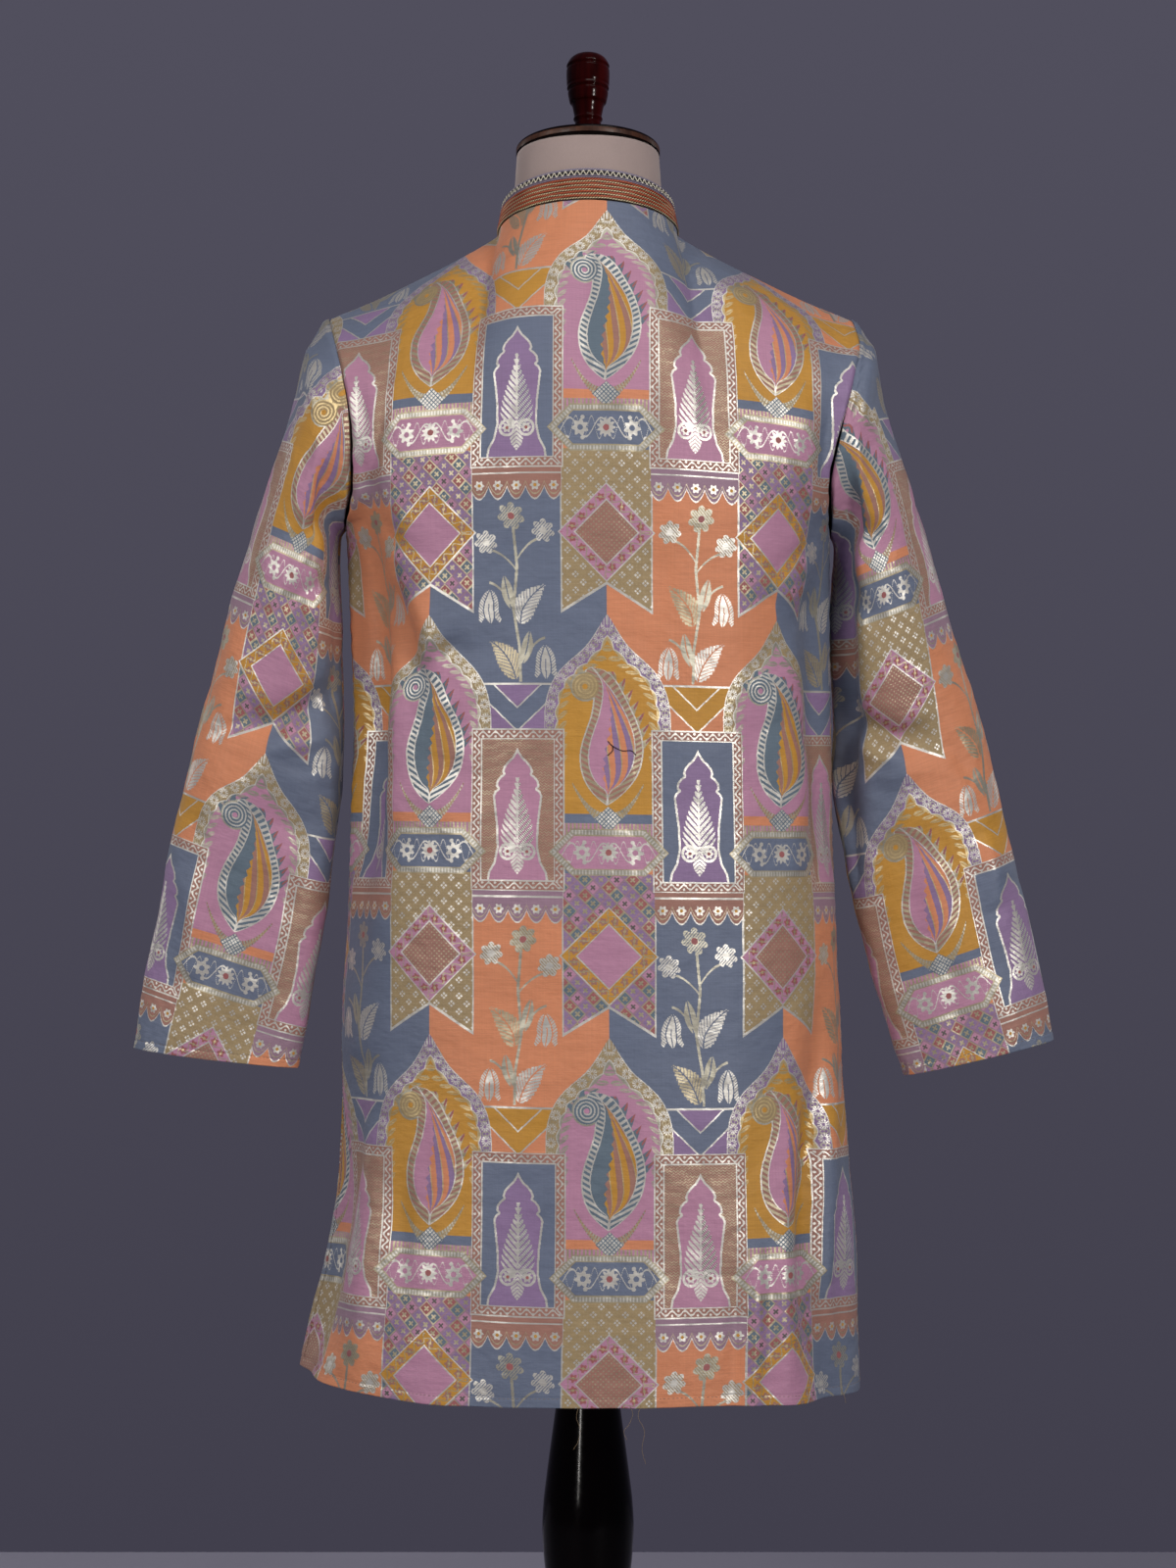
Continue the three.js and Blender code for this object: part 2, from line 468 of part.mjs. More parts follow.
for (let k = 0; k < BUTTON.count; k++) {
  const p = frontPoint(0, 28 + k * 88), q = frontPoint(0, 32 + k * 88);
  const lean = Math.atan2(q.y - p.y, q.z - p.z);
  const g = turned([{ z: 0, r: BUTTON.r * 0.8 }, { z: 1, r: BUTTON.r }, { z: 2.2, r: BUTTON.r }, { z: BUTTON.thick, r: BUTTON.r * 0.55 }], 16);
  add("button_" + (k + 1), g, metal, (m) => {
    const face = V(0, Math.cos(lean), -Math.sin(lean)); // along the panel's outward normal, then turned to face out
    const n = face.y > 0 ? face.negate() : face;
    m.position.copy(p).add(V(0, -(PLACKET.wall + 0.9), 0)).addScaledVector(n, 1);
    m.quaternion.setFromUnitVectors(V(0, 0, 1), n);
  });
}
add("form_torso", loft(formRings), jersey);
const head = new THREE.Group();
head.position.set(0, -3, CAP.bottom + 0.5);
head.rotation.x = THREE.MathUtils.degToRad(CAP_TILT);
group.add(head);
const capMesh = new THREE.Mesh(loft(capRings), mahogany);
capMesh.name = "form_neck_cap";
head.add(capMesh);
const finial = new THREE.Mesh(turned(FINIAL, 24), mahogany);
finial.name = "form_finial";
finial.position.z = CAP.thick + 1.2;
head.add(finial);
add("form_post", turned(POST, 32), mahogany);
add("form_foot", turned(FOOT, 48), mahogany);

export default group;
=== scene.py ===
"""A men's knee-length kurta in patterned brocade on a limbless dress form, seen from behind.
Everything is in metres in the CAD frame: +Z up, the garment's back towards +Y, its wearer's left on +X.
Sizes in the tables are millimetres, as a cutter would write them, and MM turns them into metres."""

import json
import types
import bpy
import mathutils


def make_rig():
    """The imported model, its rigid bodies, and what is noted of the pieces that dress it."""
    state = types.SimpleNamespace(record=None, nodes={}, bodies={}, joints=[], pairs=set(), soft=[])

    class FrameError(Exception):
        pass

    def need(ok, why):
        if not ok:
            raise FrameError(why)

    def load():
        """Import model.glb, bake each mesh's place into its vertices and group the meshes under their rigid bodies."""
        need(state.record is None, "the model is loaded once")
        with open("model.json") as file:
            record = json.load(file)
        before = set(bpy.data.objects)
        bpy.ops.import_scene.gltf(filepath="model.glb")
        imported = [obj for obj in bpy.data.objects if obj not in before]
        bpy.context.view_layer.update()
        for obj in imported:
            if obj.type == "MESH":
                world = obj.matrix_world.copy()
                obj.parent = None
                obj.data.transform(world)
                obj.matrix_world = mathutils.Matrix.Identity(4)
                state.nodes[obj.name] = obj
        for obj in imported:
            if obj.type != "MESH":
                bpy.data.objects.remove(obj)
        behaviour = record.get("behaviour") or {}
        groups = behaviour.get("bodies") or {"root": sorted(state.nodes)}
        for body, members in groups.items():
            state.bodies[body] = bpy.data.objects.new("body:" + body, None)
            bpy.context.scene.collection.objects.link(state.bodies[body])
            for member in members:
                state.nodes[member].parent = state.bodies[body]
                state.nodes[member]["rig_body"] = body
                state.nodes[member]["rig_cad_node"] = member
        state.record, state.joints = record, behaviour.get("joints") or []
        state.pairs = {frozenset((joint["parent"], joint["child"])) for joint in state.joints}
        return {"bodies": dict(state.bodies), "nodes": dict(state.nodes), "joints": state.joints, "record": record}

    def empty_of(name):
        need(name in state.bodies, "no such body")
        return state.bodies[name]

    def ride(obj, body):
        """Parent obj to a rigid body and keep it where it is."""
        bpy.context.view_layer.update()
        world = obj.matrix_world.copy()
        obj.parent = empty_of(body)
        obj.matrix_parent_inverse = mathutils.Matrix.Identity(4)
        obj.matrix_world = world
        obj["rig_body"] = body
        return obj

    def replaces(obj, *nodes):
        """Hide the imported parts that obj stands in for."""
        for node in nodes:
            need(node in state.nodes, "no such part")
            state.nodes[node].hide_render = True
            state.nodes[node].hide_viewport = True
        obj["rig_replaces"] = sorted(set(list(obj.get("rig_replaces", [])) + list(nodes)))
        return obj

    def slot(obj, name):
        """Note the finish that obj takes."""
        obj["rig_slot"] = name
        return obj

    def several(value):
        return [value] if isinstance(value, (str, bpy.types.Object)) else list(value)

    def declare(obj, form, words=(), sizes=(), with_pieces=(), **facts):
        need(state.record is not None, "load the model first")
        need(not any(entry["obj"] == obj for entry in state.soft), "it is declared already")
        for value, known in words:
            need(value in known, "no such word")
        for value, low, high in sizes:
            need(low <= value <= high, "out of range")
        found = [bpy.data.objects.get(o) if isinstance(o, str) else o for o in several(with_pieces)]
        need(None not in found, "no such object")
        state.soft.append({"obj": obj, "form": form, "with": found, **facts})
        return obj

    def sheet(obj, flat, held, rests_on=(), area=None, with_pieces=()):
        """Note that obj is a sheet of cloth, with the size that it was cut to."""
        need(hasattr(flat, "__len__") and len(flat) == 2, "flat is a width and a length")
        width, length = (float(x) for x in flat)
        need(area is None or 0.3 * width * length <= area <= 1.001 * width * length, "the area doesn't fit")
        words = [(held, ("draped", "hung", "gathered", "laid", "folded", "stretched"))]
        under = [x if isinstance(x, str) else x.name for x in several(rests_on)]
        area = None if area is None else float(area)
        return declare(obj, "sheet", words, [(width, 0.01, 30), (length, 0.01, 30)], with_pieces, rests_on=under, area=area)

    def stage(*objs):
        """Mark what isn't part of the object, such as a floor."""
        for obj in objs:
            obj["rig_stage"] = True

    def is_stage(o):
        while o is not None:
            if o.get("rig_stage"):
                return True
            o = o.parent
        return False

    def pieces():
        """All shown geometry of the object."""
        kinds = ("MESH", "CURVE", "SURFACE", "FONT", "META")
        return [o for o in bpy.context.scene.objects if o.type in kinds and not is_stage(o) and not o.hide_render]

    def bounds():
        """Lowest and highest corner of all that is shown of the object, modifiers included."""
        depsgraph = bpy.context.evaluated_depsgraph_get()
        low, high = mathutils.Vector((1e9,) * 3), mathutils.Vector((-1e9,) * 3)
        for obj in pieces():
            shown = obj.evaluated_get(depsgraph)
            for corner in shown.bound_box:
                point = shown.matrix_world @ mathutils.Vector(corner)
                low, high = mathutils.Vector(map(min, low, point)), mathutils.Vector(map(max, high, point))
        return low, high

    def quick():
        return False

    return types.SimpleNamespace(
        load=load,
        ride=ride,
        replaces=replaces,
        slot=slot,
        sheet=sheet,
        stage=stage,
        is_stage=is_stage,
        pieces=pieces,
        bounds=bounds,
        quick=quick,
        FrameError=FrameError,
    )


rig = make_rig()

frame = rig.load()

import json
import math

import bpy
import numpy as np

MM = 0.001
cad_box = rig.bounds()
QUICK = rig.quick()
rng = np.random.default_rng(11)

# =============================================================================================
# Tables: the same sections as the CAD solids
# =============================================================================================
WALL = 1.6
SEAM = 0.5
HEM_Z = 550.0
HEM_LIFT = {"left": 9.0, "right": -7.0}
ARMPIT_Z = 1267.0
NECK = dict(half=76, back=66, front=80, sideZ=1517, backRise=17, frontDrop=60)
COLLAR = dict(half=71, back=61.5, front=67, height=26, sideRise=22.5, frontRise=27, wall=2.2, gapHalf=5)
PLACKET = dict(width=38, length=360, wall=1.4)

BODY = np.array([
    # z, left, right, back, front, square, slit
    [543, 242, 228, 139, 128, 2.35, 13],
    [592, 233, 228, 138, 127, 2.35, 10],
    [642, 223, 227, 136, 126, 2.35, 8],
    [708, 214, 223, 134, 126, 2.3, 5],
    [758, 210, 219, 132, 126, 2.3, 3.5],
    [858, 208, 213, 129, 126, 2.3, 0.8],
    [884, 207, 212, 128, 126, 2.3, 0],
    [942, 204, 210, 127, 126, 2.3, 0],
    [1025, 203, 208, 124, 127, 2.3, 0],
    [1108, 200, 207, 121, 129, 2.3, 0],
    [1190, 203, 206, 121, 131, 2.35, 0],
    [1267, 206, 205, 124, 131, 2.45, 0]], float)
BODY_COL = dict(z=0, left=1, right=2, back=3, front=4, square=5, slit=6)

ARMHOLE = np.array([
    # at, leftX, leftZ, rightX, rightZ, back, front
    [0, 206, 1267, 205, 1262, 0, 0],
    [0.15, 202, 1274, 202, 1270, 30, 31],
    [0.35, 196, 1302, 201, 1298, 58, 56],
    [0.5, 196, 1334, 207, 1330, 69, 64],
    [0.65, 199, 1364, 215, 1360, 71, 64],
    [0.8, 206, 1397, 223, 1392, 60, 54],
    [0.92, 215, 1427, 229, 1421, 33, 30],
    [1, 222, 1446, 226, 1445, 0, 0]], float)
ARMHOLE_COL = dict(at=0, leftX=1, leftZ=2, rightX=3, rightZ=4, back=5, front=6)

SHOULDER = np.array([[0, 76, 1517], [0.2, 101, 1501], [0.5, 146, 1478.5], [0.8, 194, 1457], [1, 222, 1446]], float)
NECK_SHARE = 0.38
ARRIVE = np.array([[0, 66, 72], [0.38, 30, 40], [0.6, 12, 16], [1, 4, 6]], float)

FOLDS = [
    # panel, top, foot, from, to, wide, high
    ("back", 0.78, 0.82, 880, 1285, 0.11, -15),
    ("back", 0.9, 0.56, 1090, 1330, 0.1, -9),
    ("back", 0.84, 0.9, 550, 800, 0.1, -12),
    ("back", 0.48, 0.42, 550, 700, 0.1, 5),
    ("back", -0.8, -0.84, 960, 1280, 0.11, -10),
    ("back", -0.7, -0.75, 550, 800, 0.09, -11),
    ("back", -0.58, -0.6, 550, 720, 0.09, 6),
    ("front", 0.76, 0.8, 900, 1270, 0.11, -10),
    ("front", 0.62, 0.7, 550, 880, 0.11, -12),
    ("front", -0.74, -0.68, 550, 940, 0.12, -12),
    ("front", 0.36, 0.4, 550, 820, 0.1, 6),
    ("front", -0.34, -0.42, 550, 780, 0.1, 5)]

SLEEVE = {
    # outX, outZ, outY, inX, inZ, inY, thick
    "left": np.array([
        [238, 1424, -1, 210, 1256, 0, 69], [252, 1370, -3, 212, 1226, 0, 64], [278, 1284, -4, 209.5, 1175, -2, 55],
        [305, 1199, -6, 209, 1112, -4, 47], [328, 1113, -8, 210, 1046, -6, 40], [349, 1030, -9, 217, 982, -7, 34],
        [365, 954, -10, 227, 922, -8, 30], [378, 886, -10, 237, 864, -8, 27], [387, 824, -10, 249, 808, -8, 25]], float),
    "right": np.array([
        [239, 1424, -1, 209, 1252, 0, 69], [253, 1370, -3, 212, 1222, 0, 64], [280, 1284, -4, 210.5, 1172, -2, 55],
        [306, 1200, -6, 211.5, 1108, -4, 46], [331, 1115, -8, 212.5, 1042, -6, 38], [353, 1035, -9, 220, 978, -7, 32],
        [371, 960, -10, 233, 918, -8, 28], [386, 892, -10, 250, 858, -8, 26], [397, 832, -10, 269, 802, -8, 25]], float)}

# =============================================================================================
# Interpolation
# =============================================================================================
def along(xs, ys, at):
    """Monotone cubic through (xs, ys), at an array of places."""
    xs, ys, at = np.asarray(xs, float), np.asarray(ys, float), np.asarray(at, float)
    h = np.diff(xs); s = np.diff(ys) / h
    m = np.zeros_like(ys); m[0], m[-1] = s[0], s[-1]
    for k in range(1, len(xs) - 1):
        a, b = s[k - 1], s[k]
        if a * b > 0:
            m[k] = 3 * (h[k - 1] + h[k]) / ((2 * h[k] + h[k - 1]) / a + (h[k] + 2 * h[k - 1]) / b)
    t = np.clip(at, xs[0], xs[-1])
    i = np.clip(np.searchsorted(xs, t, side="right") - 1, 0, len(xs) - 2)
    u = (t - xs[i]) / h[i]; u2 = u * u; u3 = u2 * u
    return ((2 * u3 - 3 * u2 + 1) * ys[i] + (u3 - 2 * u2 + u) * h[i] * m[i]
            + (-2 * u3 + 3 * u2) * ys[i + 1] + (u3 - u2) * h[i] * m[i + 1])


def body(col, z):
    return along(BODY[:, 0], BODY[:, BODY_COL[col]], z)


def arm(col, t):
    return along(ARMHOLE[:, 0], ARMHOLE[:, ARMHOLE_COL[col]], t)


def smooth(a, b, x):
    t = np.clip((x - a) / (b - a), 0, 1)
    return t * t * (3 - 2 * t)


def mix(a, b, t):
    return a + (b - a) * t


_P = np.linspace(0, np.pi / 2, 121)
_SN, _CS = np.sin(_P), np.clip(np.cos(_P), 0, 1)


def quarter(a, b, square, share):
    """A point a share of the way along a quarter of a squared ellipse, from (0, b) to (a, 0); one row at a time."""
    x = a * _SN ** (2 / square); y = b * _CS ** (2 / square)
    d = np.concatenate([[0], np.cumsum(np.hypot(np.diff(x), np.diff(y)))])
    w = share * d[-1]
    return np.interp(w, d, x), np.interp(w, d, y)


# =============================================================================================
# Body panels
# =============================================================================================
def fold_depth(panel, h, z):
    d = np.zeros_like(h)
    for p, top, foot, lo, hi, wide, high in FOLDS:
        if p != panel:
            continue
        s = (hi - z) / (hi - lo)
        mid = mix(top, foot, np.clip(s, 0, 1))
        fade = np.sin(np.pi * np.clip(s, 0, 1)) if lo > HEM_Z + 5 else smooth(0, 0.75, s)
        d += np.where(z > hi, 0, high * fade * np.exp(-((h - mid) / wide) ** 2))
    return d


def lower_row(panel, h, z):
    """Points of one row, all h, each at its own z. h and z are arrays."""
    side = 1.0 if panel == "back" else -1.0
    gap = SEAM / 2 + body("slit", z); depth = body(panel, z) - gap; sq = body("square", z)
    half = np.where(h >= 0, body("left", z), body("right", z))
    x = np.empty_like(h); y = np.empty_like(h)
    for i in range(len(h)):
        x[i], y[i] = quarter(half[i], depth[i], sq[i], abs(h[i]))
    nx, ny = x / half ** 2, y / depth ** 2
    nl = np.hypot(nx, ny); nx, ny = nx / nl, ny / nl
    d = fold_depth(panel, h, z)
    return np.stack([np.sign(h) * (x + nx * d), side * (gap + y + ny * d), z], -1)


def top_edge(panel, h):
    a, s, side = np.abs(h), np.where(h >= 0, 1.0, -1.0), (1.0 if panel == "back" else -1.0)
    p = np.clip(a / NECK_SHARE, 0, 1) * np.pi / 2
    c = np.clip(np.cos(p), 0, 1)
    z = NECK["sideZ"] + NECK["backRise"] * c if panel == "back" else NECK["sideZ"] - NECK["frontDrop"] * c ** 1.3
    neck = np.stack([s * NECK["half"] * np.sin(p), side * (SEAM / 2 + NECK[panel] * c), z], -1)
    t = np.clip((a - NECK_SHARE) / (1 - NECK_SHARE), 0, 1)
    tip = np.where(s > 0, 0.0, 4.0)
    sh = np.stack([s * (along(SHOULDER[:, 0], SHOULDER[:, 1], t) + tip * t), np.full_like(h, side * SEAM / 2),
                   along(SHOULDER[:, 0], SHOULDER[:, 2], t)], -1)
    return np.where((a <= NECK_SHARE)[:, None], neck, sh)


def armhole_point(panel, left, t):
    s, side = (1.0 if left else -1.0), (1.0 if panel == "back" else -1.0)
    return np.stack([s * arm("leftX" if left else "rightX", t), side * (SEAM / 2 + arm(panel, t)),
                     arm("leftZ" if left else "rightZ", t)], -1)


def upper_grid(panel, h, ts):
    """rows for each t in ts, columns for each h"""
    side = 1.0 if panel == "back" else -1.0
    p0 = lower_row(panel, h, np.full_like(h, ARMPIT_Z)); p3 = top_edge(panel, h)
    rise = p3[:, 2] - p0[:, 2]
    ang = np.radians(along(ARRIVE[:, 0], ARRIVE[:, 1 if panel == "back" else 2], np.abs(h)))
    p1 = np.stack([mix(p0[:, 0], p3[:, 0], 0.12), p0[:, 1], p0[:, 2] + rise * 0.5], -1)
    reach = rise * 0.42
    p2 = np.stack([mix(p0[:, 0], p3[:, 0], 0.8), p3[:, 1] + side * reach * np.cos(ang), p3[:, 2] - reach * np.sin(ang)], -1)

    def bez(u):
        u = u[:, None, None]; v = 1 - u
        return v ** 3 * p0 + 3 * v * v * u * p1 + 3 * v * u * u * p2 + u ** 3 * p3
    g = bez(ts)
    for left in (True, False):
        idx = 0 if left else len(h) - 1
        hole = armhole_point(panel, left, ts)
        off = hole - g[:, idx]
        pull = smooth(0.45, 1, np.abs(h)) * ((h > 0) if left else (h < 0))
        g = g + off[:, None, :] * pull[None, :, None]
    return g


def panel_base(panel, cols, low, up):
    h = np.linspace(1, -1, cols + 1)
    lift = smooth(0.25, 1, np.abs(h)) * np.where(h > 0, HEM_LIFT["left"], HEM_LIFT["right"])
    rows = [lower_row(panel, h, mix(HEM_Z + lift, ARMPIT_Z, k / low)) for k in range(low)]
    g = upper_grid(panel, h, (np.arange(0, up + 1) / up) ** 1.05)
    return np.concatenate([np.array(rows), g], 0)


# =============================================================================================
# Sleeves
# =============================================================================================
def sleeve_base(left, around, rows):
    s = 1.0 if left else -1.0
    turn = np.arange(around) / around
    back = turn <= 0.5
    t = np.where(back, turn * 2, 2 - turn * 2)
    head = np.where(back[:, None], armhole_point("back", left, t), armhole_point("front", left, t))
    head = head + np.stack([np.full(around, s * 0.4), np.zeros(around), 1.2 * smooth(0.5, 1, t) - 0.2], -1)
    loops = [head]
    a = turn * 2 * np.pi; c, n = -np.cos(a), np.sin(a)
    for r in SLEEVE["left" if left else "right"]:
        mid = np.array([(r[0] + r[3]) / 2, (r[2] + r[5]) / 2, (r[1] + r[4]) / 2])
        half = np.array([(r[0] - r[3]) / 2, (r[2] - r[5]) / 2, (r[1] - r[4]) / 2])
        p = mid + half * (np.sign(c) * np.abs(c) ** 0.95)[:, None]
        p[:, 1] += r[6] * np.sign(n) * np.abs(n) ** 0.95
        p[:, 0] *= s
        loops.append(p)
    L = np.array(loops)
    # even spacing down the sleeve, by the mean length between loops
    d = np.concatenate([[0], np.cumsum(np.linalg.norm(np.diff(L, axis=0), axis=-1).mean(1))])
    at = np.linspace(0, d[-1], rows + 1)
    out = np.empty((rows + 1, around, 3))
    for i in range(around):
        for k in range(3):
            out[:, i, k] = along(d, L[:, i, k], at)
    return out


# =============================================================================================
# Flat cut: a grid of points laid flat with its lengths kept, as the cloth was cut
# =============================================================================================
def flatten(P, steps=500, loop=False):
    """u across, v up, in mm, for a grid P of rows and columns. The first guess is by length along the middle column."""
    R, C = P.shape[:2]
    mid = C // 2
    dr = np.linalg.norm(np.diff(P, axis=1), axis=-1)
    u = np.concatenate([np.zeros((R, 1)), np.cumsum(dr, 1)], 1); u = u - u[:, mid:mid + 1]
    dc = np.linalg.norm(np.diff(P, axis=0), axis=-1)
    v = np.concatenate([np.zeros((1, C)), np.cumsum(dc, 0)], 0)
    Q = np.stack([u, v], -1)
    pairs = []
    idx = np.arange(R * C).reshape(R, C)
    for a, b, w in ((idx[:, :-1], idx[:, 1:], 1.0), (idx[:-1], idx[1:], 1.0), (idx[:-1, :-1], idx[1:, 1:], 0.7),
                    (idx[:-1, 1:], idx[1:, :-1], 0.7), (idx[:, :-2], idx[:, 2:], 0.5), (idx[:-2], idx[2:], 0.5)):
        pairs.append((a.ravel(), b.ravel(), w))
    F = P.reshape(-1, 3); q = Q.reshape(-1, 2).copy()
    sets = [(a, b, np.linalg.norm(F[a] - F[b], axis=1), w) for a, b, w in pairs]
    cnt = np.zeros(len(q))
    for a, b, L, w in sets:
        np.add.at(cnt, a, w); np.add.at(cnt, b, w)
    vel = np.zeros_like(q)
    for it in range(steps):
        acc = np.zeros_like(q)
        for a, b, L, w in sets:
            d = q[b] - q[a]; l = np.maximum(np.linalg.norm(d, axis=1), 1e-6)
            f = d * ((l - L) / l * 0.5 * w)[:, None]
            for k in (0, 1):
                acc[:, k] += np.bincount(a, f[:, k], len(q)) - np.bincount(b, f[:, k], len(q))
        vel = 0.9 * vel + acc / cnt[:, None]
        q += vel
    q = q.reshape(R, C, 2)
    q -= q[0, mid]
    # the middle column stands upright
    e = q[R // 2, mid]; ang = math.atan2(e[0], e[1]); cs, sn = math.cos(ang), math.sin(ang)
    return np.stack([q[..., 0] * cs - q[..., 1] * sn, q[..., 0] * sn + q[..., 1] * cs], -1)


def resample(A, rows, cols):
    """A smooth (Catmull-Rom) resampling of a grid to new row and column places."""
    def one(M, at):
        n = M.shape[0]
        i = np.clip(np.floor(at).astype(int), 0, n - 2); t = (at - i)
        t = t.reshape((-1,) + (1,) * (M.ndim - 1))
        p1, p2 = M[i], M[i + 1]
        p0 = np.where((i > 0).reshape(t.shape), M[np.maximum(i - 1, 0)], 2 * p1 - p2)
        p3 = np.where((i < n - 2).reshape(t.shape), M[np.minimum(i + 2, n - 1)], 2 * p2 - p1)
        return 0.5 * ((2 * p1) + (p2 - p0) * t + (2 * p0 - 5 * p1 + 4 * p2 - p3) * t ** 2 + (3 * p1 - p0 - 3 * p2 + p3) * t ** 3)
    B = one(A, rows)
    return np.swapaxes(one(np.swapaxes(B, 0, 1), cols), 0, 1)


def normals(P, loop=False):
    """Unit normals of a grid, columns across and rows up."""
    if loop:
        dx = np.roll(P, -1, 1) - np.roll(P, 1, 1)
    else:
        dx = np.gradient(P, axis=1)
    dy = np.gradient(P, axis=0)
    n = np.cross(dx, dy)
    return n / np.maximum(np.linalg.norm(n, axis=-1, keepdims=True), 1e-9)


# =============================================================================================
# Creases, given one by one. Each is a stroke on the view of the back (or of the front, mirrored) in
# a cutter's grid: x across from the middle towards the wearer's left, z up, both in mm.
# =============================================================================================
def stroke(X, Z, pts, wide, high, sharp=2.0, wide2=None):
    """Height at (X, Z) of a crease along a line of points, tapering to both ends. wide2 is its other side."""
    pts = np.array(pts, float)
    best = np.full(X.shape, 1e9); s_at = np.zeros(X.shape); sgn = np.zeros(X.shape)
    seg = np.linalg.norm(np.diff(pts, axis=0), axis=1); tot = seg.sum(); run = 0.0
    for k in range(len(pts) - 1):
        d = pts[k + 1] - pts[k]; L = seg[k]
        t = np.clip(((X - pts[k, 0]) * d[0] + (Z - pts[k, 1]) * d[1]) / (L * L), 0, 1)
        ex, ez = X - (pts[k, 0] + t * d[0]), Z - (pts[k, 1] + t * d[1])
        r = np.hypot(ex, ez); m = r < best
        best = np.where(m, r, best); s_at = np.where(m, (run + t * L) / tot, s_at)
        sgn = np.where(m, np.sign(ex * d[1] - ez * d[0]), sgn)
        run += L
    w = wide if wide2 is None else np.where(sgn > 0, wide, wide2)
    taper = np.sin(np.pi * np.clip(s_at, 0.0, 1.0)) ** 0.7
    ends = np.exp(-(best / w) ** sharp)
    return high * ends * taper


def waves(X, Z, seed, amp, size, n=10, stretch=(1.0, 1.0)):
    """A sum of slanting sines: the cloth's slight unevenness."""
    r = np.random.default_rng(seed)
    out = np.zeros(X.shape)
    for _ in range(n):
        a = r.uniform(0, 2 * np.pi); f = 2 * np.pi / (size * r.uniform(0.7, 1.6)); ph = r.uniform(0, 2 * np.pi)
        out += np.sin((X * math.cos(a) * stretch[0] + Z * math.sin(a) * stretch[1]) * f + ph)
    return amp * out / math.sqrt(n)


def pb(pts, y=112.0):
    """Points of the back view, in its 1200 x 1600 grid, to (x, z) mm on a surface y mm behind the side seams."""
    k = (2400.0 - y) / 2880.0
    return [((600 - a) * k, 1050 + (800 - b) * k) for a, b in pts]


def back_creases(X, Z):
    H = np.zeros(X.shape)
    S = lambda pts, wide, high, **kw: stroke(X, Z, pb(pts), wide, high, **kw)
    # left of the back: the panel turns in under the arm and drags towards the waist
    H += S([(350, 505), (355, 600), (360, 700), (360, 800), (356, 900)], 16, -5.5)
    H += S([(352, 540), (368, 610), (378, 690), (374, 790), (366, 930)], 11, -7.0, wide2=17)
    H += S([(388, 560), (398, 640), (400, 720), (392, 840)], 13, 2.6)
    H += S([(392, 590), (408, 640), (419, 688)], 7.5, -3.6, wide2=11)
    H += S([(419, 692), (440, 668), (478, 648)], 6.5, -2.6, wide2=10)
    H += S([(424, 600), (437, 648), (441, 700)], 10, 2.4)
    H += S([(350, 440), (372, 492), (396, 560)], 9, -2.2, wide2=12)
    H += S([(352, 500), (392, 545), (440, 570)], 9, -1.6)
    H += S([(356, 380), (368, 430), (366, 480)], 8, -1.5)
    H += S([(354, 520), (384, 590), (408, 660), (424, 720)], 17, -3.0)
    H += S([(426, 712), (462, 672), (520, 652)], 13, -2.2)
    H += S([(404, 740), (440, 716), (480, 712)], 14, 1.6)
    H += S([(388, 800), (430, 780), (480, 790)], 14, -1.5)
    # right of the back
    H += S([(842, 600), (806, 650), (760, 676)], 15, -2.0)
    H += S([(836, 760), (800, 742), (756, 748)], 14, -1.5)
    H += S([(862, 390), (852, 440), (849, 500)], 8, -2.4, wide2=11)
    H += S([(846, 540), (838, 640), (840, 760), (846, 900)], 9, -4.5, wide2=14)
    H += S([(846, 520), (826, 556), (790, 585)], 8, -1.7)
    H += S([(822, 640), (802, 618), (770, 604)], 7, -1.5)
    H += S([(818, 700), (822, 800), (818, 900)], 12, 1.8)
    H += S([(700, 1112), (722, 1106), (742, 1108)], 4.5, -0.8)
    # lower right: narrow folds beside the side seam, and one soft flute at the hem
    H += S([(846, 1000), (838, 1120), (824, 1230), (826, 1330), (836, 1440)], 8.5, -6.0, wide2=12)
    H += S([(858, 1060), (852, 1180), (846, 1300), (852, 1440)], 7, 3.4)
    H += S([(812, 1120), (806, 1240), (802, 1360), (806, 1450)], 11, 2.8)
    H += S([(772, 1260), (769, 1350), (766, 1450)], 8, 3.2)
    H += S([(752, 1290), (750, 1370), (746, 1450)], 9, -1.8)
    H += S([(850, 1160), (838, 1176), (818, 1186)], 5, -1.8)
    # lower left: the corner flares, with a long fold from the side
    H += S([(362, 1080), (352, 1180), (338, 1290), (330, 1420)], 10, -5.0, wide2=15)
    H += S([(380, 1150), (376, 1260), (366, 1350), (362, 1440)], 12, 3.0)
    H += S([(412, 1180), (408, 1260), (412, 1330)], 8, -1.4)
    H += S([(484, 1300), (480, 1370), (474, 1450)], 12, -2.2, wide2=16)
    H += S([(520, 1340), (516, 1400), (512, 1450)], 12, 1.6)
    H += S([(650, 1380), (652, 1420), (650, 1450)], 11, 1.2)
    # across the shoulders
    H += S([(505, 262), (470, 300), (420, 330)], 10, -1.2)
    H += S([(696, 262), (740, 306), (800, 340)], 11, -1.0)
    H += S([(560, 300), (600, 330), (650, 300)], 16, -0.8)
    return 1.3 * H


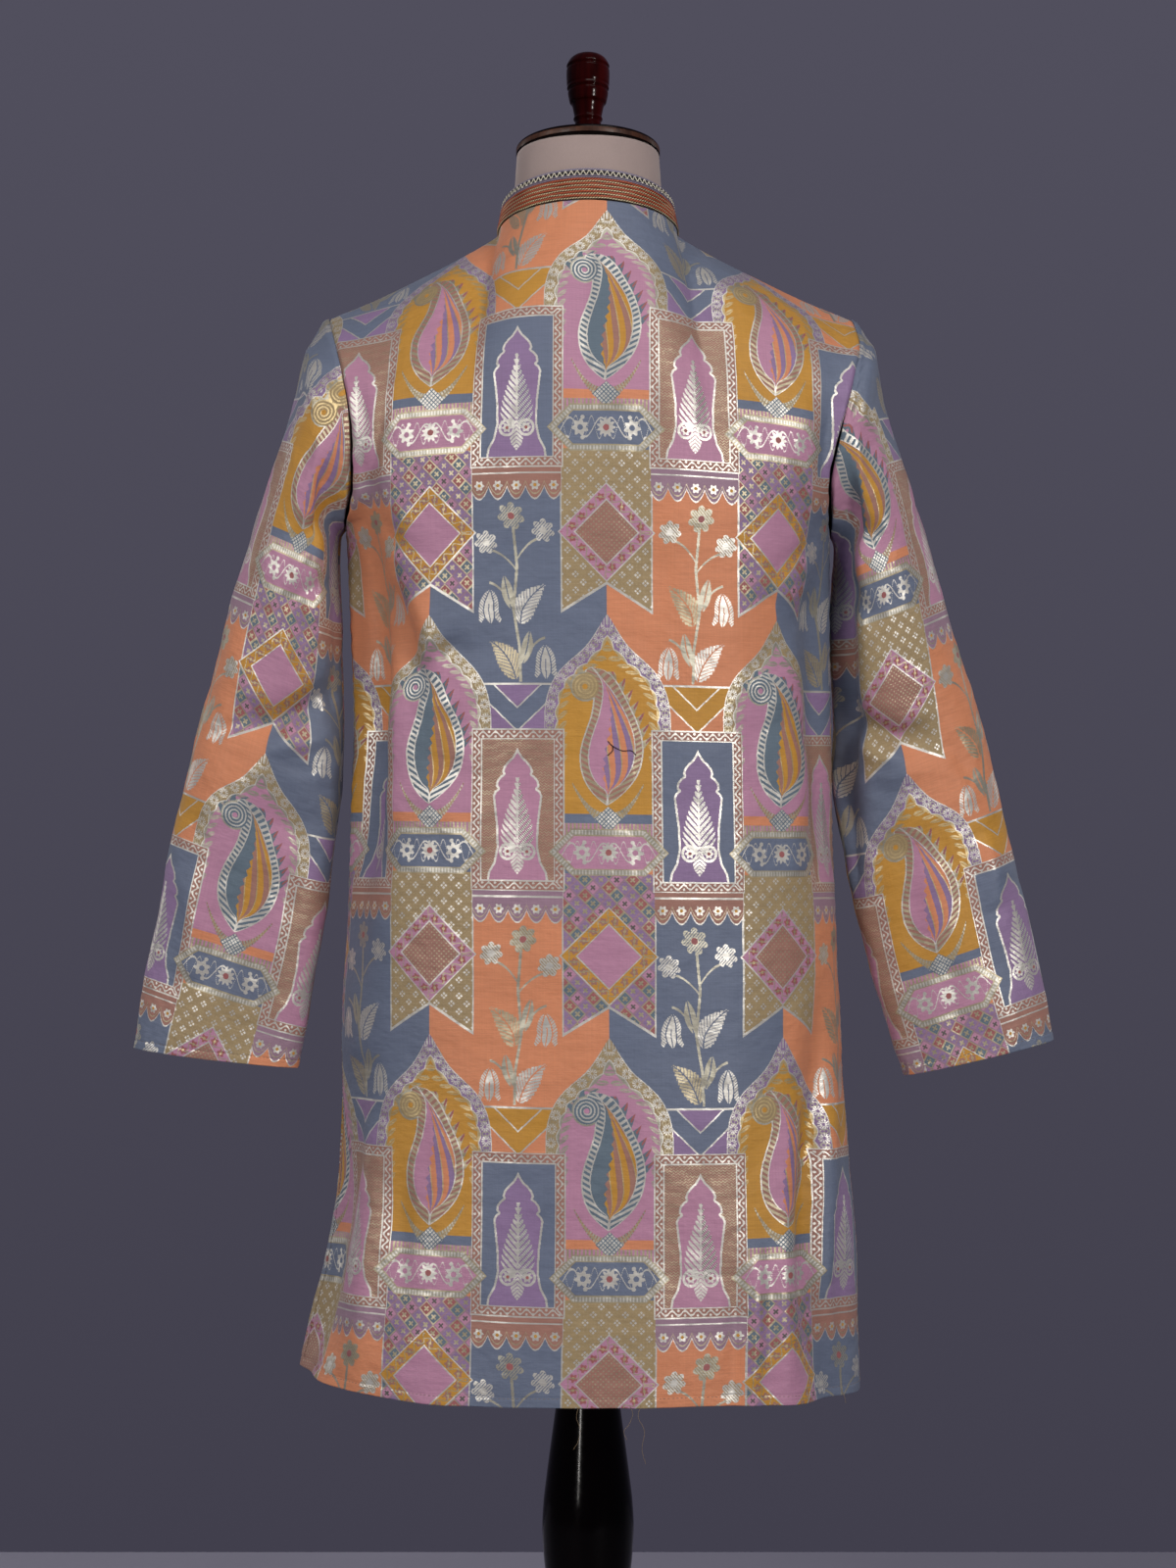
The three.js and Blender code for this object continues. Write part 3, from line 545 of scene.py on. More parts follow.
def front_creases(X, Z):
    """The unseen front gets creases like the back's, in other places."""
    H = np.zeros(X.shape)
    S = lambda pts, wide, high, **kw: stroke(X, Z, pts, wide, high, **kw)
    H += S([(196, 1262), (186, 1200), (176, 1120), (182, 1010)], 11, -6.0, wide2=16)
    H += S([(-196, 1258), (-184, 1190), (-178, 1100), (-184, 960)], 10, -6.5, wide2=15)
    H += S([(170, 1240), (150, 1190), (120, 1150)], 9, -2.6, wide2=12)
    H += S([(-176, 1230), (-140, 1180), (-112, 1160)], 9, -2.2, wide2=12)
    H += S([(188, 1300), (160, 1260), (118, 1236)], 9, -1.8)
    H += S([(-190, 1310), (-150, 1275), (-110, 1260)], 9, -1.6)
    H += S([(168, 860), (176, 740), (186, 640), (182, 548)], 10, -5.5, wide2=15)
    H += S([(-172, 900), (-166, 780), (-174, 660), (-182, 548)], 10, -6.0, wide2=14)
    H += S([(128, 760), (120, 650), (126, 548)], 13, 3.2)
    H += S([(-112, 720), (-104, 640), (-108, 548)], 12, 3.4)
    H += S([(66, 690), (70, 620), (62, 548)], 12, -1.8)
    H += S([(-60, 700), (-66, 610), (-58, 548)], 13, -2.0)
    H += S([(60, 1420), (92, 1390), (132, 1372)], 12, -1.4)
    H += S([(-66, 1416), (-98, 1384), (-136, 1368)], 12, -1.2)
    return H


def sleeve_creases(X, Z, left, behind):
    H = np.zeros(X.shape)
    S = lambda pts, wide, high, **kw: stroke(X, Z, pb(pts, 30.0), wide, high, **kw)
    if left and behind:
        H += S([(354, 690), (322, 722), (276, 736), (228, 728)], 14, -3.4)
        H += S([(346, 772), (306, 788), (250, 778)], 13, 2.4)
        H += S([(356, 492), (324, 544), (284, 566)], 14, -3.0)
        H += S([(336, 830), (300, 846), (254, 832)], 14, -2.0)
        H += S([(356, 450), (352, 540), (350, 640), (344, 760)], 8, -4.0)
        H += S([(350, 470), (334, 500), (318, 548)], 8, -3.2, wide2=12)
        H += S([(352, 515), (334, 538), (300, 560)], 7, -3.0, wide2=10)
        H += S([(346, 420), (322, 452), (308, 500)], 9, -2.0)
        H += S([(340, 590), (318, 606), (290, 612)], 8, -2.0)
        H += S([(344, 700), (316, 726), (276, 742), (246, 742)], 7, -3.6, wide2=11)
        H += S([(342, 745), (312, 758), (270, 764)], 7, 2.2)
        H += S([(336, 780), (306, 786), (270, 778)], 8, -2.0)
        H += S([(212, 760), (226, 744), (250, 738)], 7, -1.8)
        H += S([(322, 860), (300, 890), (286, 940)], 11, -1.8)
        H += S([(186, 880), (196, 940), (190, 1000)], 11, 1.8)
        H += S([(270, 980), (262, 1030), (258, 1090)], 13, -1.8)
        H += S([(214, 1010), (208, 1050), (204, 1092)], 12, 1.4)
        H += S([(318, 330), (306, 380), (300, 440)], 11, -1.2)
    elif left:
        H += S([(350, 700), (314, 728), (262, 734)], 14, -3.0)
        H += S([(352, 500), (322, 548), (286, 572)], 14, -2.6)
        H += S([(350, 480), (330, 520), (300, 560)], 8, -3.0, wide2=12)
        H += S([(344, 690), (310, 716), (262, 722)], 7, -3.2, wide2=11)
        H += S([(338, 752), (300, 770), (250, 760)], 8, -2.4)
        H += S([(330, 820), (300, 850), (282, 900)], 11, -2.0)
        H += S([(240, 960), (232, 1020), (226, 1090)], 13, -1.8)
    elif behind:
        H += S([(852, 716), (888, 744), (930, 756), (972, 744)], 14, -3.4)
        H += S([(866, 790), (906, 800), (954, 790)], 13, 2.4)
        H += S([(846, 500), (874, 546), (912, 566)], 14, -3.0)
        H += S([(888, 860), (926, 872), (970, 858)], 14, -2.0)
        H += S([(846, 440), (850, 540), (854, 660), (862, 790), (872, 930)], 13, -8.0)
        H += S([(848, 470), (862, 506), (884, 548)], 8, -3.2, wide2=12)
        H += S([(850, 520), (872, 540), (900, 552)], 7, -2.8, wide2=10)
        H += S([(866, 420), (884, 456), (890, 500)], 9, -1.8)
        H += S([(856, 590), (876, 620), (900, 640)], 8, -2.2)
        H += S([(860, 724), (884, 742), (918, 752), (950, 744)], 7, -3.8, wide2=11)
        H += S([(868, 758), (896, 772), (930, 774)], 7, 2.2)
        H += S([(880, 800), (910, 806), (948, 796)], 8, -2.0)
        H += S([(1000, 800), (980, 772), (960, 760)], 8, -1.8)
        H += S([(1010, 850), (1018, 890), (1016, 930)], 11, 2.4)
        H += S([(930, 880), (936, 940), (950, 1000)], 12, -2.0)
        H += S([(966, 960), (978, 1020), (992, 1090)], 13, -1.8)
        H += S([(1020, 990), (1030, 1030), (1040, 1078)], 12, 1.3)
        H += S([(893, 380), (900, 430), (908, 480)], 11, -1.2)
    else:
        H += S([(856, 712), (892, 738), (944, 742)], 14, -3.0)
        H += S([(850, 506), (876, 552), (908, 576)], 14, -2.6)
        H += S([(850, 486), (868, 520), (898, 566)], 8, -3.0, wide2=12)
        H += S([(858, 700), (890, 726), (940, 728)], 7, -3.2, wide2=11)
        H += S([(866, 766), (900, 780), (950, 768)], 8, -2.2)
        H += S([(900, 850), (926, 880), (936, 930)], 11, -2.0)
        H += S([(980, 970), (990, 1030), (1000, 1090)], 13, -1.8)
    return 1.35 * H


# =============================================================================================
# Meshes
# =============================================================================================
def link(me, name):
    o = bpy.data.objects.new(name, me)
    bpy.context.scene.collection.objects.link(o)
    return o


def mesh_object(name, verts, faces, uv=None, smooth_faces=None, mat_index=None, uv_name="flat"):
    """faces is an (n, 3 or 4) array or a list of such arrays; uv is per corner, (corners, 2)."""
    faces = faces if isinstance(faces, list) else [faces]
    me = bpy.data.meshes.new(name)
    nf = sum(len(f) for f in faces); nl = sum(f.size for f in faces)
    me.vertices.add(len(verts)); me.vertices.foreach_set("co", np.ascontiguousarray(verts, np.float32).ravel())
    me.loops.add(nl); me.polygons.add(nf)
    me.loops.foreach_set("vertex_index", np.concatenate([f.ravel() for f in faces]).astype(np.int32))
    counts = np.concatenate([np.full(len(f), f.shape[1]) for f in faces])
    me.polygons.foreach_set("loop_start", np.concatenate([[0], np.cumsum(counts)[:-1]]).astype(np.int32))
    me.polygons.foreach_set("use_smooth", np.ones(nf, bool) if smooth_faces is None else smooth_faces)
    if mat_index is not None:
        me.polygons.foreach_set("material_index", mat_index.astype(np.int32))
    me.update(calc_edges=True)
    if uv is not None:
        layer = me.uv_layers.new(name=uv_name)
        layer.data.foreach_set("uv", np.ascontiguousarray(uv, np.float32).ravel())
    me.validate()
    return link(me, name)


def shell(name, P, N, thick, UV, loop=False, flip=False):
    """A closed thin cloth: outer face P (mm, rows x columns), inner face moved in along -N by thick (mm, grid or
    number), and a rim. UV holds one more column than P when it loops. Inner faces take material 1."""
    R, C = P.shape[:2]
    Q = P - N * (thick if np.isscalar(thick) else thick[..., None])
    V = np.concatenate([P.reshape(-1, 3), Q.reshape(-1, 3)]) * MM
    cc = C if loop else C - 1
    r, c = np.meshgrid(np.arange(R - 1), np.arange(cc), indexing="ij")
    c1 = (c + 1) % C if loop else c + 1
    o = lambda rr, k: rr * C + k
    quad = np.stack([o(r, c), o(r, c1), o(r + 1, c1), o(r + 1, c)], -1).reshape(-1, 4)
    uvq = np.stack([UV[r, c], UV[r, c + 1], UV[r + 1, c + 1], UV[r + 1, c]], -2).reshape(-1, 4, 2)
    inner = quad[:, ::-1] + R * C; uvi = uvq[:, ::-1]
    rims, uvr = [], []
    n = R * C

    def rim(a, b, ua, ub, turn):
        f = np.stack([a, b, b + n, a + n], -1); u = np.stack([ua, ub, ub, ua], -2)
        if turn:
            f, u = f[:, ::-1], u[:, ::-1]
        rims.append(f); uvr.append(u)
    k = np.arange(cc); k1 = (k + 1) % C if loop else k + 1
    rim(o(0, k), o(0, k1), UV[0, k], UV[0, k + 1], True)
    rim(o(R - 1, k), o(R - 1, k1), UV[R - 1, k], UV[R - 1, k + 1], False)
    if not loop:
        k = np.arange(R - 1)
        rim(o(k, 0), o(k + 1, 0), UV[k, 0], UV[k + 1, 0], False)
        rim(o(k, C - 1), o(k + 1, C - 1), UV[k, C - 1], UV[k + 1, C - 1], True)
    F = np.concatenate([quad, inner] + rims); U = np.concatenate([uvq, uvi] + uvr)
    if flip:
        F, U = F[:, ::-1], U[:, ::-1]
    nr = len(F) - 2 * len(quad)
    sm = np.concatenate([np.ones(2 * len(quad), bool), np.zeros(nr, bool)])
    mi = np.concatenate([np.zeros(len(quad)), np.ones(len(quad)), np.zeros(nr)])
    return mesh_object(name, V, F, U.reshape(-1, 2), sm, mi)


def places(length, step, dense):
    """Places from 0 to length with a step, and finer ones in the zones of dense: (from, to, step)."""
    xs = set(np.round(np.linspace(0, length, max(2, int(round(length / step)) + 1)), 3))
    for lo, hi, st in dense:
        xs = {x for x in xs if not (lo - st * 0.5 < x < hi + st * 0.5)} | set(np.round(np.arange(lo, hi + 1e-6, st), 3))
    xs |= {0.0, round(float(length), 3)}
    return np.array(sorted(x for x in xs if 0 <= x <= length))


def tube(pts, radius, sides=8, closed=False, twist=0.0, lobes=0, lobe=0.0, uv_scale=1.0, caps=True):
    """A tube along pts (mm). twist is turns per mm; lobes and lobe shape a plied cord. Returns verts, quads, uv."""
    P = np.asarray(pts, float); n = len(P)
    T = np.gradient(P, axis=0) if not closed else np.roll(P, -1, 0) - np.roll(P, 1, 0)
    T /= np.linalg.norm(T, axis=1, keepdims=True)
    up = np.array([0, 0, 1.0]); A = np.cross(T, up)
    bad = np.linalg.norm(A, axis=1) < 1e-3
    A[bad] = np.cross(T[bad], np.array([1.0, 0, 0]))
    A /= np.linalg.norm(A, axis=1, keepdims=True); B = np.cross(A, T)
    s = np.concatenate([[0], np.cumsum(np.linalg.norm(np.diff(P, axis=0), axis=1))])
    th = np.arange(sides) / sides * 2 * np.pi
    rad = np.full((n, sides), float(radius))
    if lobes:
        rad = radius * (1 + lobe * np.cos(lobes * (th[None, :] - 2 * np.pi * twist * s[:, None])))
    V = P[:, None, :] + rad[..., None] * (np.cos(th)[None, :, None] * A[:, None, :] + np.sin(th)[None, :, None] * B[:, None, :])
    i, j = np.meshgrid(np.arange(n - 1), np.arange(sides), indexing="ij"); j1 = (j + 1) % sides
    F = np.stack([i * sides + j, i * sides + j1, (i + 1) * sides + j1, (i + 1) * sides + j], -1).reshape(-1, 4)
    U = np.stack([np.stack([s[i], j / sides], -1), np.stack([s[i], (j + 1) / sides], -1),
                  np.stack([s[i + 1], (j + 1) / sides], -1), np.stack([s[i + 1], j / sides], -1)], -2).reshape(-1, 4, 2)
    V = V.reshape(-1, 3)
    if caps:
        a = len(V); V = np.concatenate([V, P[:1], P[-1:]])
        k = np.arange(sides); k1 = (k + 1) % sides
        F = np.concatenate([F, np.stack([k1, k, np.full(sides, a), np.full(sides, a)], -1),
                            np.stack([k + (n - 1) * sides, k1 + (n - 1) * sides, np.full(sides, a + 1), np.full(sides, a + 1)], -1)])
        z = np.zeros((2 * sides, 4, 2)); U = np.concatenate([U, z])
    U[..., 0] *= uv_scale
    return V * MM, F, U


def join_tubes(name, parts):
    V, F, U, off = [], [], [], 0
    tri, triu = [], []
    for v, f, u in parts:
        V.append(v)
        deg = f[:, 2] == f[:, 3]
        F.append(f[~deg] + off); U.append(u[~deg].reshape(-1, 2))
        tri.append(f[deg][:, :3] + off); triu.append(u[deg][:, :3].reshape(-1, 2))
        off += len(v)
    Fq, Ft = np.concatenate(F), np.concatenate(tri)
    return mesh_object(name, np.concatenate(V), [Fq, Ft] if len(Ft) else [Fq], np.concatenate(U + triu))


# =============================================================================================
# The brocade: one repeat, worked out in mm from small functions. x runs across the cloth and y up
# it. The result is one number, the shuttle that shows: 0 to 11 are silks, 12 and up metal threads.
# =============================================================================================
MUSTARD, ORANGE, PINK, SLATE, PURPLE, OLIVE, RUST, MAUVE, TEAL, INK, ROSE, SAND, ZARI, ZDULL, ZGOLD, ZGREY = range(16)


class Val:
    """A number in a material's graph: a constant or a node's output."""
    def __init__(self, g, s):
        self.g, self.s = g, s

    def __add__(self, o): return self.g.op("ADD", self, o)
    def __radd__(self, o): return self.g.op("ADD", self, o)
    def __sub__(self, o): return self.g.op("SUBTRACT", self, o)
    def __rsub__(self, o): return self.g.op("SUBTRACT", o, self)
    def __mul__(self, o): return self.g.op("MULTIPLY", self, o)
    def __rmul__(self, o): return self.g.op("MULTIPLY", self, o)
    def __truediv__(self, o): return self.g.op("DIVIDE", self, o)
    def __neg__(self): return self.g.op("MULTIPLY", self, -1.0)
    def __abs__(self): return self.g.op("ABSOLUTE", self)
    def __lt__(self, o): return self.g.op("LESS_THAN", self, o)
    def __gt__(self, o): return self.g.op("GREATER_THAN", self, o)
    def __and__(self, o): return self.g.op("MULTIPLY", self, o)
    def __or__(self, o): return self.g.op("MAXIMUM", self, o)
    def __mod__(self, o): return self.g.op("FLOORED_MODULO", self, o)
    def no(self): return self.g.op("SUBTRACT", 1.0, self)


class Graph:
    """Math nodes made as they are asked for, none twice, so the graph stays small."""
    def __init__(self, tree):
        self.tree, self.made, self.count = tree, {}, 0

    def node(self, kind):
        self.count += 1
        return self.tree.nodes.new(kind)

    def key(self, v):
        s = v.s if isinstance(v, Val) else float(v)
        return ("c", round(s, 6)) if isinstance(s, float) else ("s", s.node.name, s.identifier)

    def feed(self, socket, v):
        s = v.s if isinstance(v, Val) else float(v)
        if isinstance(s, float):
            socket.default_value = s
        else:
            self.tree.links.new(s, socket)

    def op(self, kind, *args):
        k = (kind,) + tuple(self.key(a) for a in args)
        if k not in self.made:
            n = self.node("ShaderNodeMath"); n.operation = kind
            for i, a in enumerate(args):
                self.feed(n.inputs[i], a)
            self.made[k] = Val(self, n.outputs[0])
        return self.made[k]

    def mix(self, a, b, t):
        n = self.node("ShaderNodeMix"); n.data_type = "FLOAT"
        self.feed(n.inputs[0], t); self.feed(n.inputs[2], a); self.feed(n.inputs[3], b)
        return Val(self, n.outputs[0])

    def hypot(self, a, b):
        n = self.node("ShaderNodeCombineXYZ"); self.feed(n.inputs[0], a); self.feed(n.inputs[1], b)
        m = self.node("ShaderNodeVectorMath"); m.operation = "LENGTH"
        self.tree.links.new(n.outputs[0], m.inputs[0])
        return Val(self, m.outputs["Value"])

    def curve(self, v, xs, ys):
        """A table of values, straight between its points; the places and the values are scaled into 0 to 1."""
        x0, x1 = float(xs[0]), float(xs[-1]); lo, hi = float(min(ys)), float(max(ys)); hi = hi if hi > lo else lo + 1
        n = self.node("ShaderNodeFloatCurve"); c = n.mapping.curves[0]
        c.points[0].location = (0.0, (ys[0] - lo) / (hi - lo)); c.points[1].location = (1.0, (ys[-1] - lo) / (hi - lo))
        for a, b in list(zip(xs, ys))[1:-1]:
            c.points.new((a - x0) / (x1 - x0), (b - lo) / (hi - lo))
        for pt in c.points:
            pt.handle_type = "VECTOR"
        n.mapping.extend = "HORIZONTAL"; n.mapping.update()
        self.feed(n.inputs["Value"], (v - x0) / (x1 - x0))
        return Val(self, n.outputs[0]) * (hi - lo) + lo


def lower(a, b): return a.g.op("MINIMUM", a, b)
def upper(a, b): return a.g.op("MAXIMUM", a, b)
def near(a, b, eps): return a.g.op("COMPARE", a, b, eps)
def floor(a): return a.g.op("FLOOR", a)
def rounded(a): return a.g.op("ROUND", a)
def sine(a): return a.g.op("SINE", a)
def cosine(a): return a.g.op("COSINE", a)
def madd(a, b, c): return a.g.op("MULTIPLY_ADD", a, b, c)


ARCH = [(0, 52), (108, 52), (119, 51.2), (129, 49), (138, 45.4), (146, 40.2), (153, 33.6), (159, 26.6), (165, 19.8), (171, 14.6), (178, 9.8), (185, 5.4), (190, 2.4), (193, 0)]
NICHE = [(0, 25), (6, 24), (14, 19.5), (26, 17), (44, 17.6), (60, 19.5), (68, 20.5), (72, 18.6), (73.5, 16.2), (75, 18.2), (80, 17.4), (84, 14.2),
         (85.5, 11.8), (87.5, 13), (92, 11.4), (96, 8), (99, 4.6), (103, 2), (107, 0)]
PAISLEY = np.array([
    # share of height, middle, half width, half width of its inside
    [0, 0, 0.0, 0], [0.03, 0.2, 5.0, 0], [0.07, 0.6, 10.4, 0], [0.11, 1.0, 14.8, 2.0], [0.15, 1.5, 18.3, 8.0], [0.22, 2.4, 22.6, 14.0],
    [0.3, 3.2, 25.2, 17.4], [0.38, 4.0, 26.0, 18.4], [0.46, 4.8, 25.0, 17.6], [0.54, 5.4, 22.6, 15.4], [0.62, 5.4, 19.4, 12.2],
    [0.7, 4.4, 16.2, 8.8], [0.78, 2.6, 13.6, 5.4], [0.85, 0, 12.0, 2.6], [0.9, -2.8, 11.4, 0.6], [0.94, -6.0, 10.8, 0], [0.97, -8.6, 9.0, 0],
    [0.99, -10.6, 5.8, 0], [1, -12, 0, 0]], float)
PAISLEY = np.array([[t] + [float(along(PAISLEY[:, 0], PAISLEY[:, k], np.array([t]))[0]) for k in (1, 2, 3)] for t in np.linspace(0, 1, 60)])


def offset_profile(points, d, n=72):
    """The half width of an outline (height, half width) moved in by d, as a table by height."""
    pts = np.array(points, float); top = pts[-1, 0]
    yy = np.linspace(0, top, 600); xx = np.interp(yy, pts[:, 0], pts[:, 1])
    hs = np.linspace(0, top, n); out = np.zeros(n)
    if d == 0:
        return hs, np.interp(hs, pts[:, 0], pts[:, 1])
    for i, h in enumerate(hs):
        cand = np.arange(0, np.interp(h, yy, xx), 0.1)
        if len(cand) == 0:
            continue
        r = np.hypot(cand[:, None] - xx[None, :], h - yy[None, :]).min(1)
        ok = np.nonzero(r >= d)[0]
        out[i] = cand[ok[-1]] if len(ok) else 0.0
    return hs, out


def smooth_table(points, n=60):
    pts = np.array(points, float); hs = np.linspace(pts[0, 0], pts[-1, 0], n)
    return list(zip(hs, along(pts[:, 0], pts[:, 1], hs)))


ARCH_SMOOTH = smooth_table(ARCH, 80)


def flower_free(g, a, b, size, petals, out, colour, turn=0.0):
    r = g.hypot(a, b)
    wob = abs(cosine(madd(g.op("ARCTAN2", b, a), petals / 2.0, turn)))
    return g.mix(out, colour, r < madd(wob, 0.34 * size, 0.66 * size)), r


def brocade(g, x, y):
    TAU = 2 * math.pi
    ka = floor(x / 148.0 + 0.5); xa = x - ka * 148.0
    kf = floor(x / 148.0); xf = x - kf * 148.0 - 74.0
    row = floor(y / 343.0); ys = y - row * 343.0
    rowf = floor((y - 118.0) / 343.0); yf = y - 118.0 - rowf * 343.0
    p = (ka + row) % 2.0; q = (kf + rowf) % 2.0
    ax, af = abs(xa), abs(xf)

    def flower(a, b, size, petals, out, heart=None, ground=None, turn=0.0):
        """A rosette at (a, b): petals, a heart. Adds to out, and returns it."""
        r = g.hypot(a, b)
        wob = cosine(madd(g.op("ARCTAN2", b, a), float(petals), turn))
        edge = madd(wob, 0.16 * size, 0.84 * size)
        out = g.mix(out, ZARI if ground is None else ground, r < edge)
        if heart is not None:
            out = g.mix(out, heart, r < 0.32 * size)
        return out, r

    # ---- plain fields, which the sprays stand on
    out = g.mix(ORANGE, SLATE, q)
    # ---- fields between the frames: a lattice of small squares, or scattered crosses
    low = (ys < 133.0) & (ys > madd(ax, -0.62, 24.0)) & (ax < 38.0)
    da, db = (xa + ys) / 12.8, (xa - ys) / 12.8
    fa, fb = da - floor(da) - 0.5, db - floor(db) - 0.5
    cell = upper(abs(fa), abs(fb))
    pick = (floor(da) * 2.0 + floor(db)) % 5.0
    lat = g.mix(PINK, PURPLE, pick > 0.5); lat = g.mix(lat, ROSE, pick > 2.5); lat = g.mix(lat, TEAL, pick > 3.5)
    cross = (lower(abs(fa), abs(fb)) < 0.075) & (cell < 0.27)
    lat = g.mix(lat, g.mix(ZDULL, INK, pick < 0.5), cross)
    lat = g.mix(lat, g.mix(MAUVE, ZDULL, pick > 2.5), cell > 0.41)
    speck = upper(abs(abs(fa) - 0.14), abs(abs(fb) - 0.14)) < 0.09
    oliv = g.mix(OLIVE, SAND, ((xa % 3.0) < 1.0) & ((ys % 3.0) < 1.0))
    oliv = g.mix(oliv, ZARI, speck)
    fld = g.mix(lat, oliv, p)
    fld = g.mix(fld, ZARI, (ax > 36.6) | (ys < madd(ax, -0.62, 26.4)))
    out = g.mix(out, fld, low)
    flip = 1.0 - q * 2.0
    xm = xf * flip; yl = yf - 168.0
    bend = g.curve(yl, [0, 30, 60, 95, 128, 150], [-3, -2, 3, 0, 3, 6])
    xs = xm - bend
    k = floor((yl - 4.0) / 45.0); yk = yl - 4.0 - k * 45.0
    side = 1.0 - (k % 2.0) * 2.0
    lx = xs * side
    # a serrated leaf that leans out and up from the stem, its blade a little bowed
    lu = madd(lx, 0.54, yk * 0.842) - 20.5; lv = madd(lx, 0.842, yk * -0.54) - 1.0
    lv = madd(lu * lu, -0.011, lv) + 1.4
    taper = madd(lu, -0.15, 10.2)
    body_w = madd(lu * lu * taper, -0.0024, taper) - (lu % 3.6) * 0.42
    two = (yl > 4.0) & (yl < 94.0)
    inside = (abs(lv) < body_w) & two
    vein = (abs(lv) < 0.6) | ((madd(abs(lv), -1.1, lu) % 3.6) < 0.75)
    blade = g.mix(g.mix(ZDULL, ZARI, side * flip > 0.0), g.mix(ORANGE, SLATE, q), vein)
    out = g.mix(out, blade, inside)
    # a narrow leaf close against the stem on the other side
    mu = madd(lx, -0.3, yk * 0.954) - 26.0; mv = madd(lx, -0.954, yk * -0.3) + 1.6
    slim = (abs(mv) < madd(mu * mu, -0.021, 4.6)) & two
    out = g.mix(out, g.mix(ZGREY, g.mix(ORANGE, SLATE, q), abs(mv) < 0.5), slim)
    # a hanging bud on the other side of the stem: three pointed petals, the side ones hatched
    bu = (lx + 21.0) * 0.8; bv = (yk - 15.0) * 0.8; ab = abs(bu)
    lip = g.curve(ab, [0, 1.4, 2.9, 4.4, 6.2, 7.8], [-12.4, -10.4, -7.4, -9.2, -11.4, -9.0])
    wide = g.curve(bv, [-12, -10, -7, -3, 1, 5, 8, 10.4], [8.2, 7.8, 6.9, 6.6, 6.4, 5.2, 3.2, 0])
    seam_x = g.curve(bv, [-8, -4, 2, 8, 10], [3.1, 3.6, 3.0, 1.0, 0])
    bud = (ab < wide) & (bv > lip) & (bv < 10.4) & two
    seam = near(ab, seam_x, 0.45) | ((ab > seam_x) & ((madd(bv, -1.1, ab) % 2.3) < 0.6)) | ((ab < 0.35) & (bv < 1.0))
    out = g.mix(out, g.mix(ZARI, g.mix(ORANGE, SLATE, q), seam), bud)
    twig = near(madd(bu * bu, -0.045, 13.0), bv - 1.5 + bu * 0.3, 0.8) & (bu > -1.0) & (bu < 15.5) & two
    out = g.mix(out, ZGREY, (near(xs, 0.0, 1.15) & (yl > 2.0) & (yl < 140.0)) | twig)
    # hatched heads where the field opens between the arches
    for cx_, cy_, sz in ((0.5, 136.0, 11.2), (24.0, 115.0, 9.6), (-24.5, 124.0, 9.6)):
        arm_ = near(madd((xs - cx_) * (xs - cx_), -0.03, cy_ - 6.0), yl, 1.0) & (xs * (1.0 if cx_ > 0 else -1.0) > 0.0) & (abs(xs) < abs(cx_))
        if sz < 10:
            out = g.mix(out, ZGREY, arm_)
        hd, hdr = flower_free(g, xs - cx_, yl - cy_, sz, 7, out, ZGREY if sz > 10 else ZARI, 0.4)
        out = g.mix(hd, g.mix(OLIVE, SLATE, q), (((xs + yl) % 2.6) < 0.9) & (hdr < sz * 0.86) & (hdr > sz * 0.3))
    out = g.mix(out, ROSE, g.hypot(xs - 0.5, yl - 136.0) < 2.8)
    # a scalloped valance under each frame
    sc = (xf + 38.5) % 15.4 - 7.7
    hang = yf - madd(sc * sc, 0.17, 317.0)
    inval = (hang > 0.0) & (af < 37.0)
    val = g.mix(g.mix(MAUVE, RUST, q), ZARI, (hang < 1.3) | near(yf, 338.5, 0.7))
    val = g.mix(val, ZDULL, near(hang, 4.6, 0.5))
    vb, _ = flower(sc, yf - 328.5, 4.2, 6, val, heart=MUSTARD)
    out = g.mix(out, vb, inval)

    # a tilted square on each field, over the plain fields beside it
    sq = (ax + abs(ys - 66.0)) * 0.7071
    u2, v2 = (xa + ys - 66.0) * 0.7071, (xa - ys + 66.0) * 0.7071
    edge_run = g.mix(v2, u2, abs(v2) > abs(u2)); eb = upper(abs(u2), abs(v2)) - 23.2
    insq = eb < 5.2
    sq_c = g.mix(MUSTARD, PINK, p)
    er = (edge_run % 11.0) - 5.5
    sq_c, _ = flower(er, eb, 3.6, 5, sq_c, heart=ZGOLD, ground=g.mix(RUST, ROSE, p))
    sq_c = g.mix(sq_c, ZDULL, near(eb, sine(edge_run * (TAU / 11.0)) * 2.7, 0.6))
    sq_c = g.mix(sq_c, ZARI, abs(eb) > 4.1)
    heart = g.mix(PINK, g.mix(RUST, ZDULL, (abs(((u2 % 3.0) - 1.5)) + abs(((v2 % 3.0) - 1.5))) < 0.85), p)
    sq_c = g.mix(sq_c, heart, eb < -5.2)
    out = g.mix(out, sq_c, insq)

    # ---- arches, each with a paisley
    ya = ys - 150.0
    inarch = ya > 0.0
    H = lambda d: g.curve(ya, *offset_profile(ARCH_SMOOTH, d))
    arch = (ax < H(0.0)) & inarch
    border_ground = g.mix(PURPLE, OLIVE, p)
    out = g.mix(out, border_ground, arch)
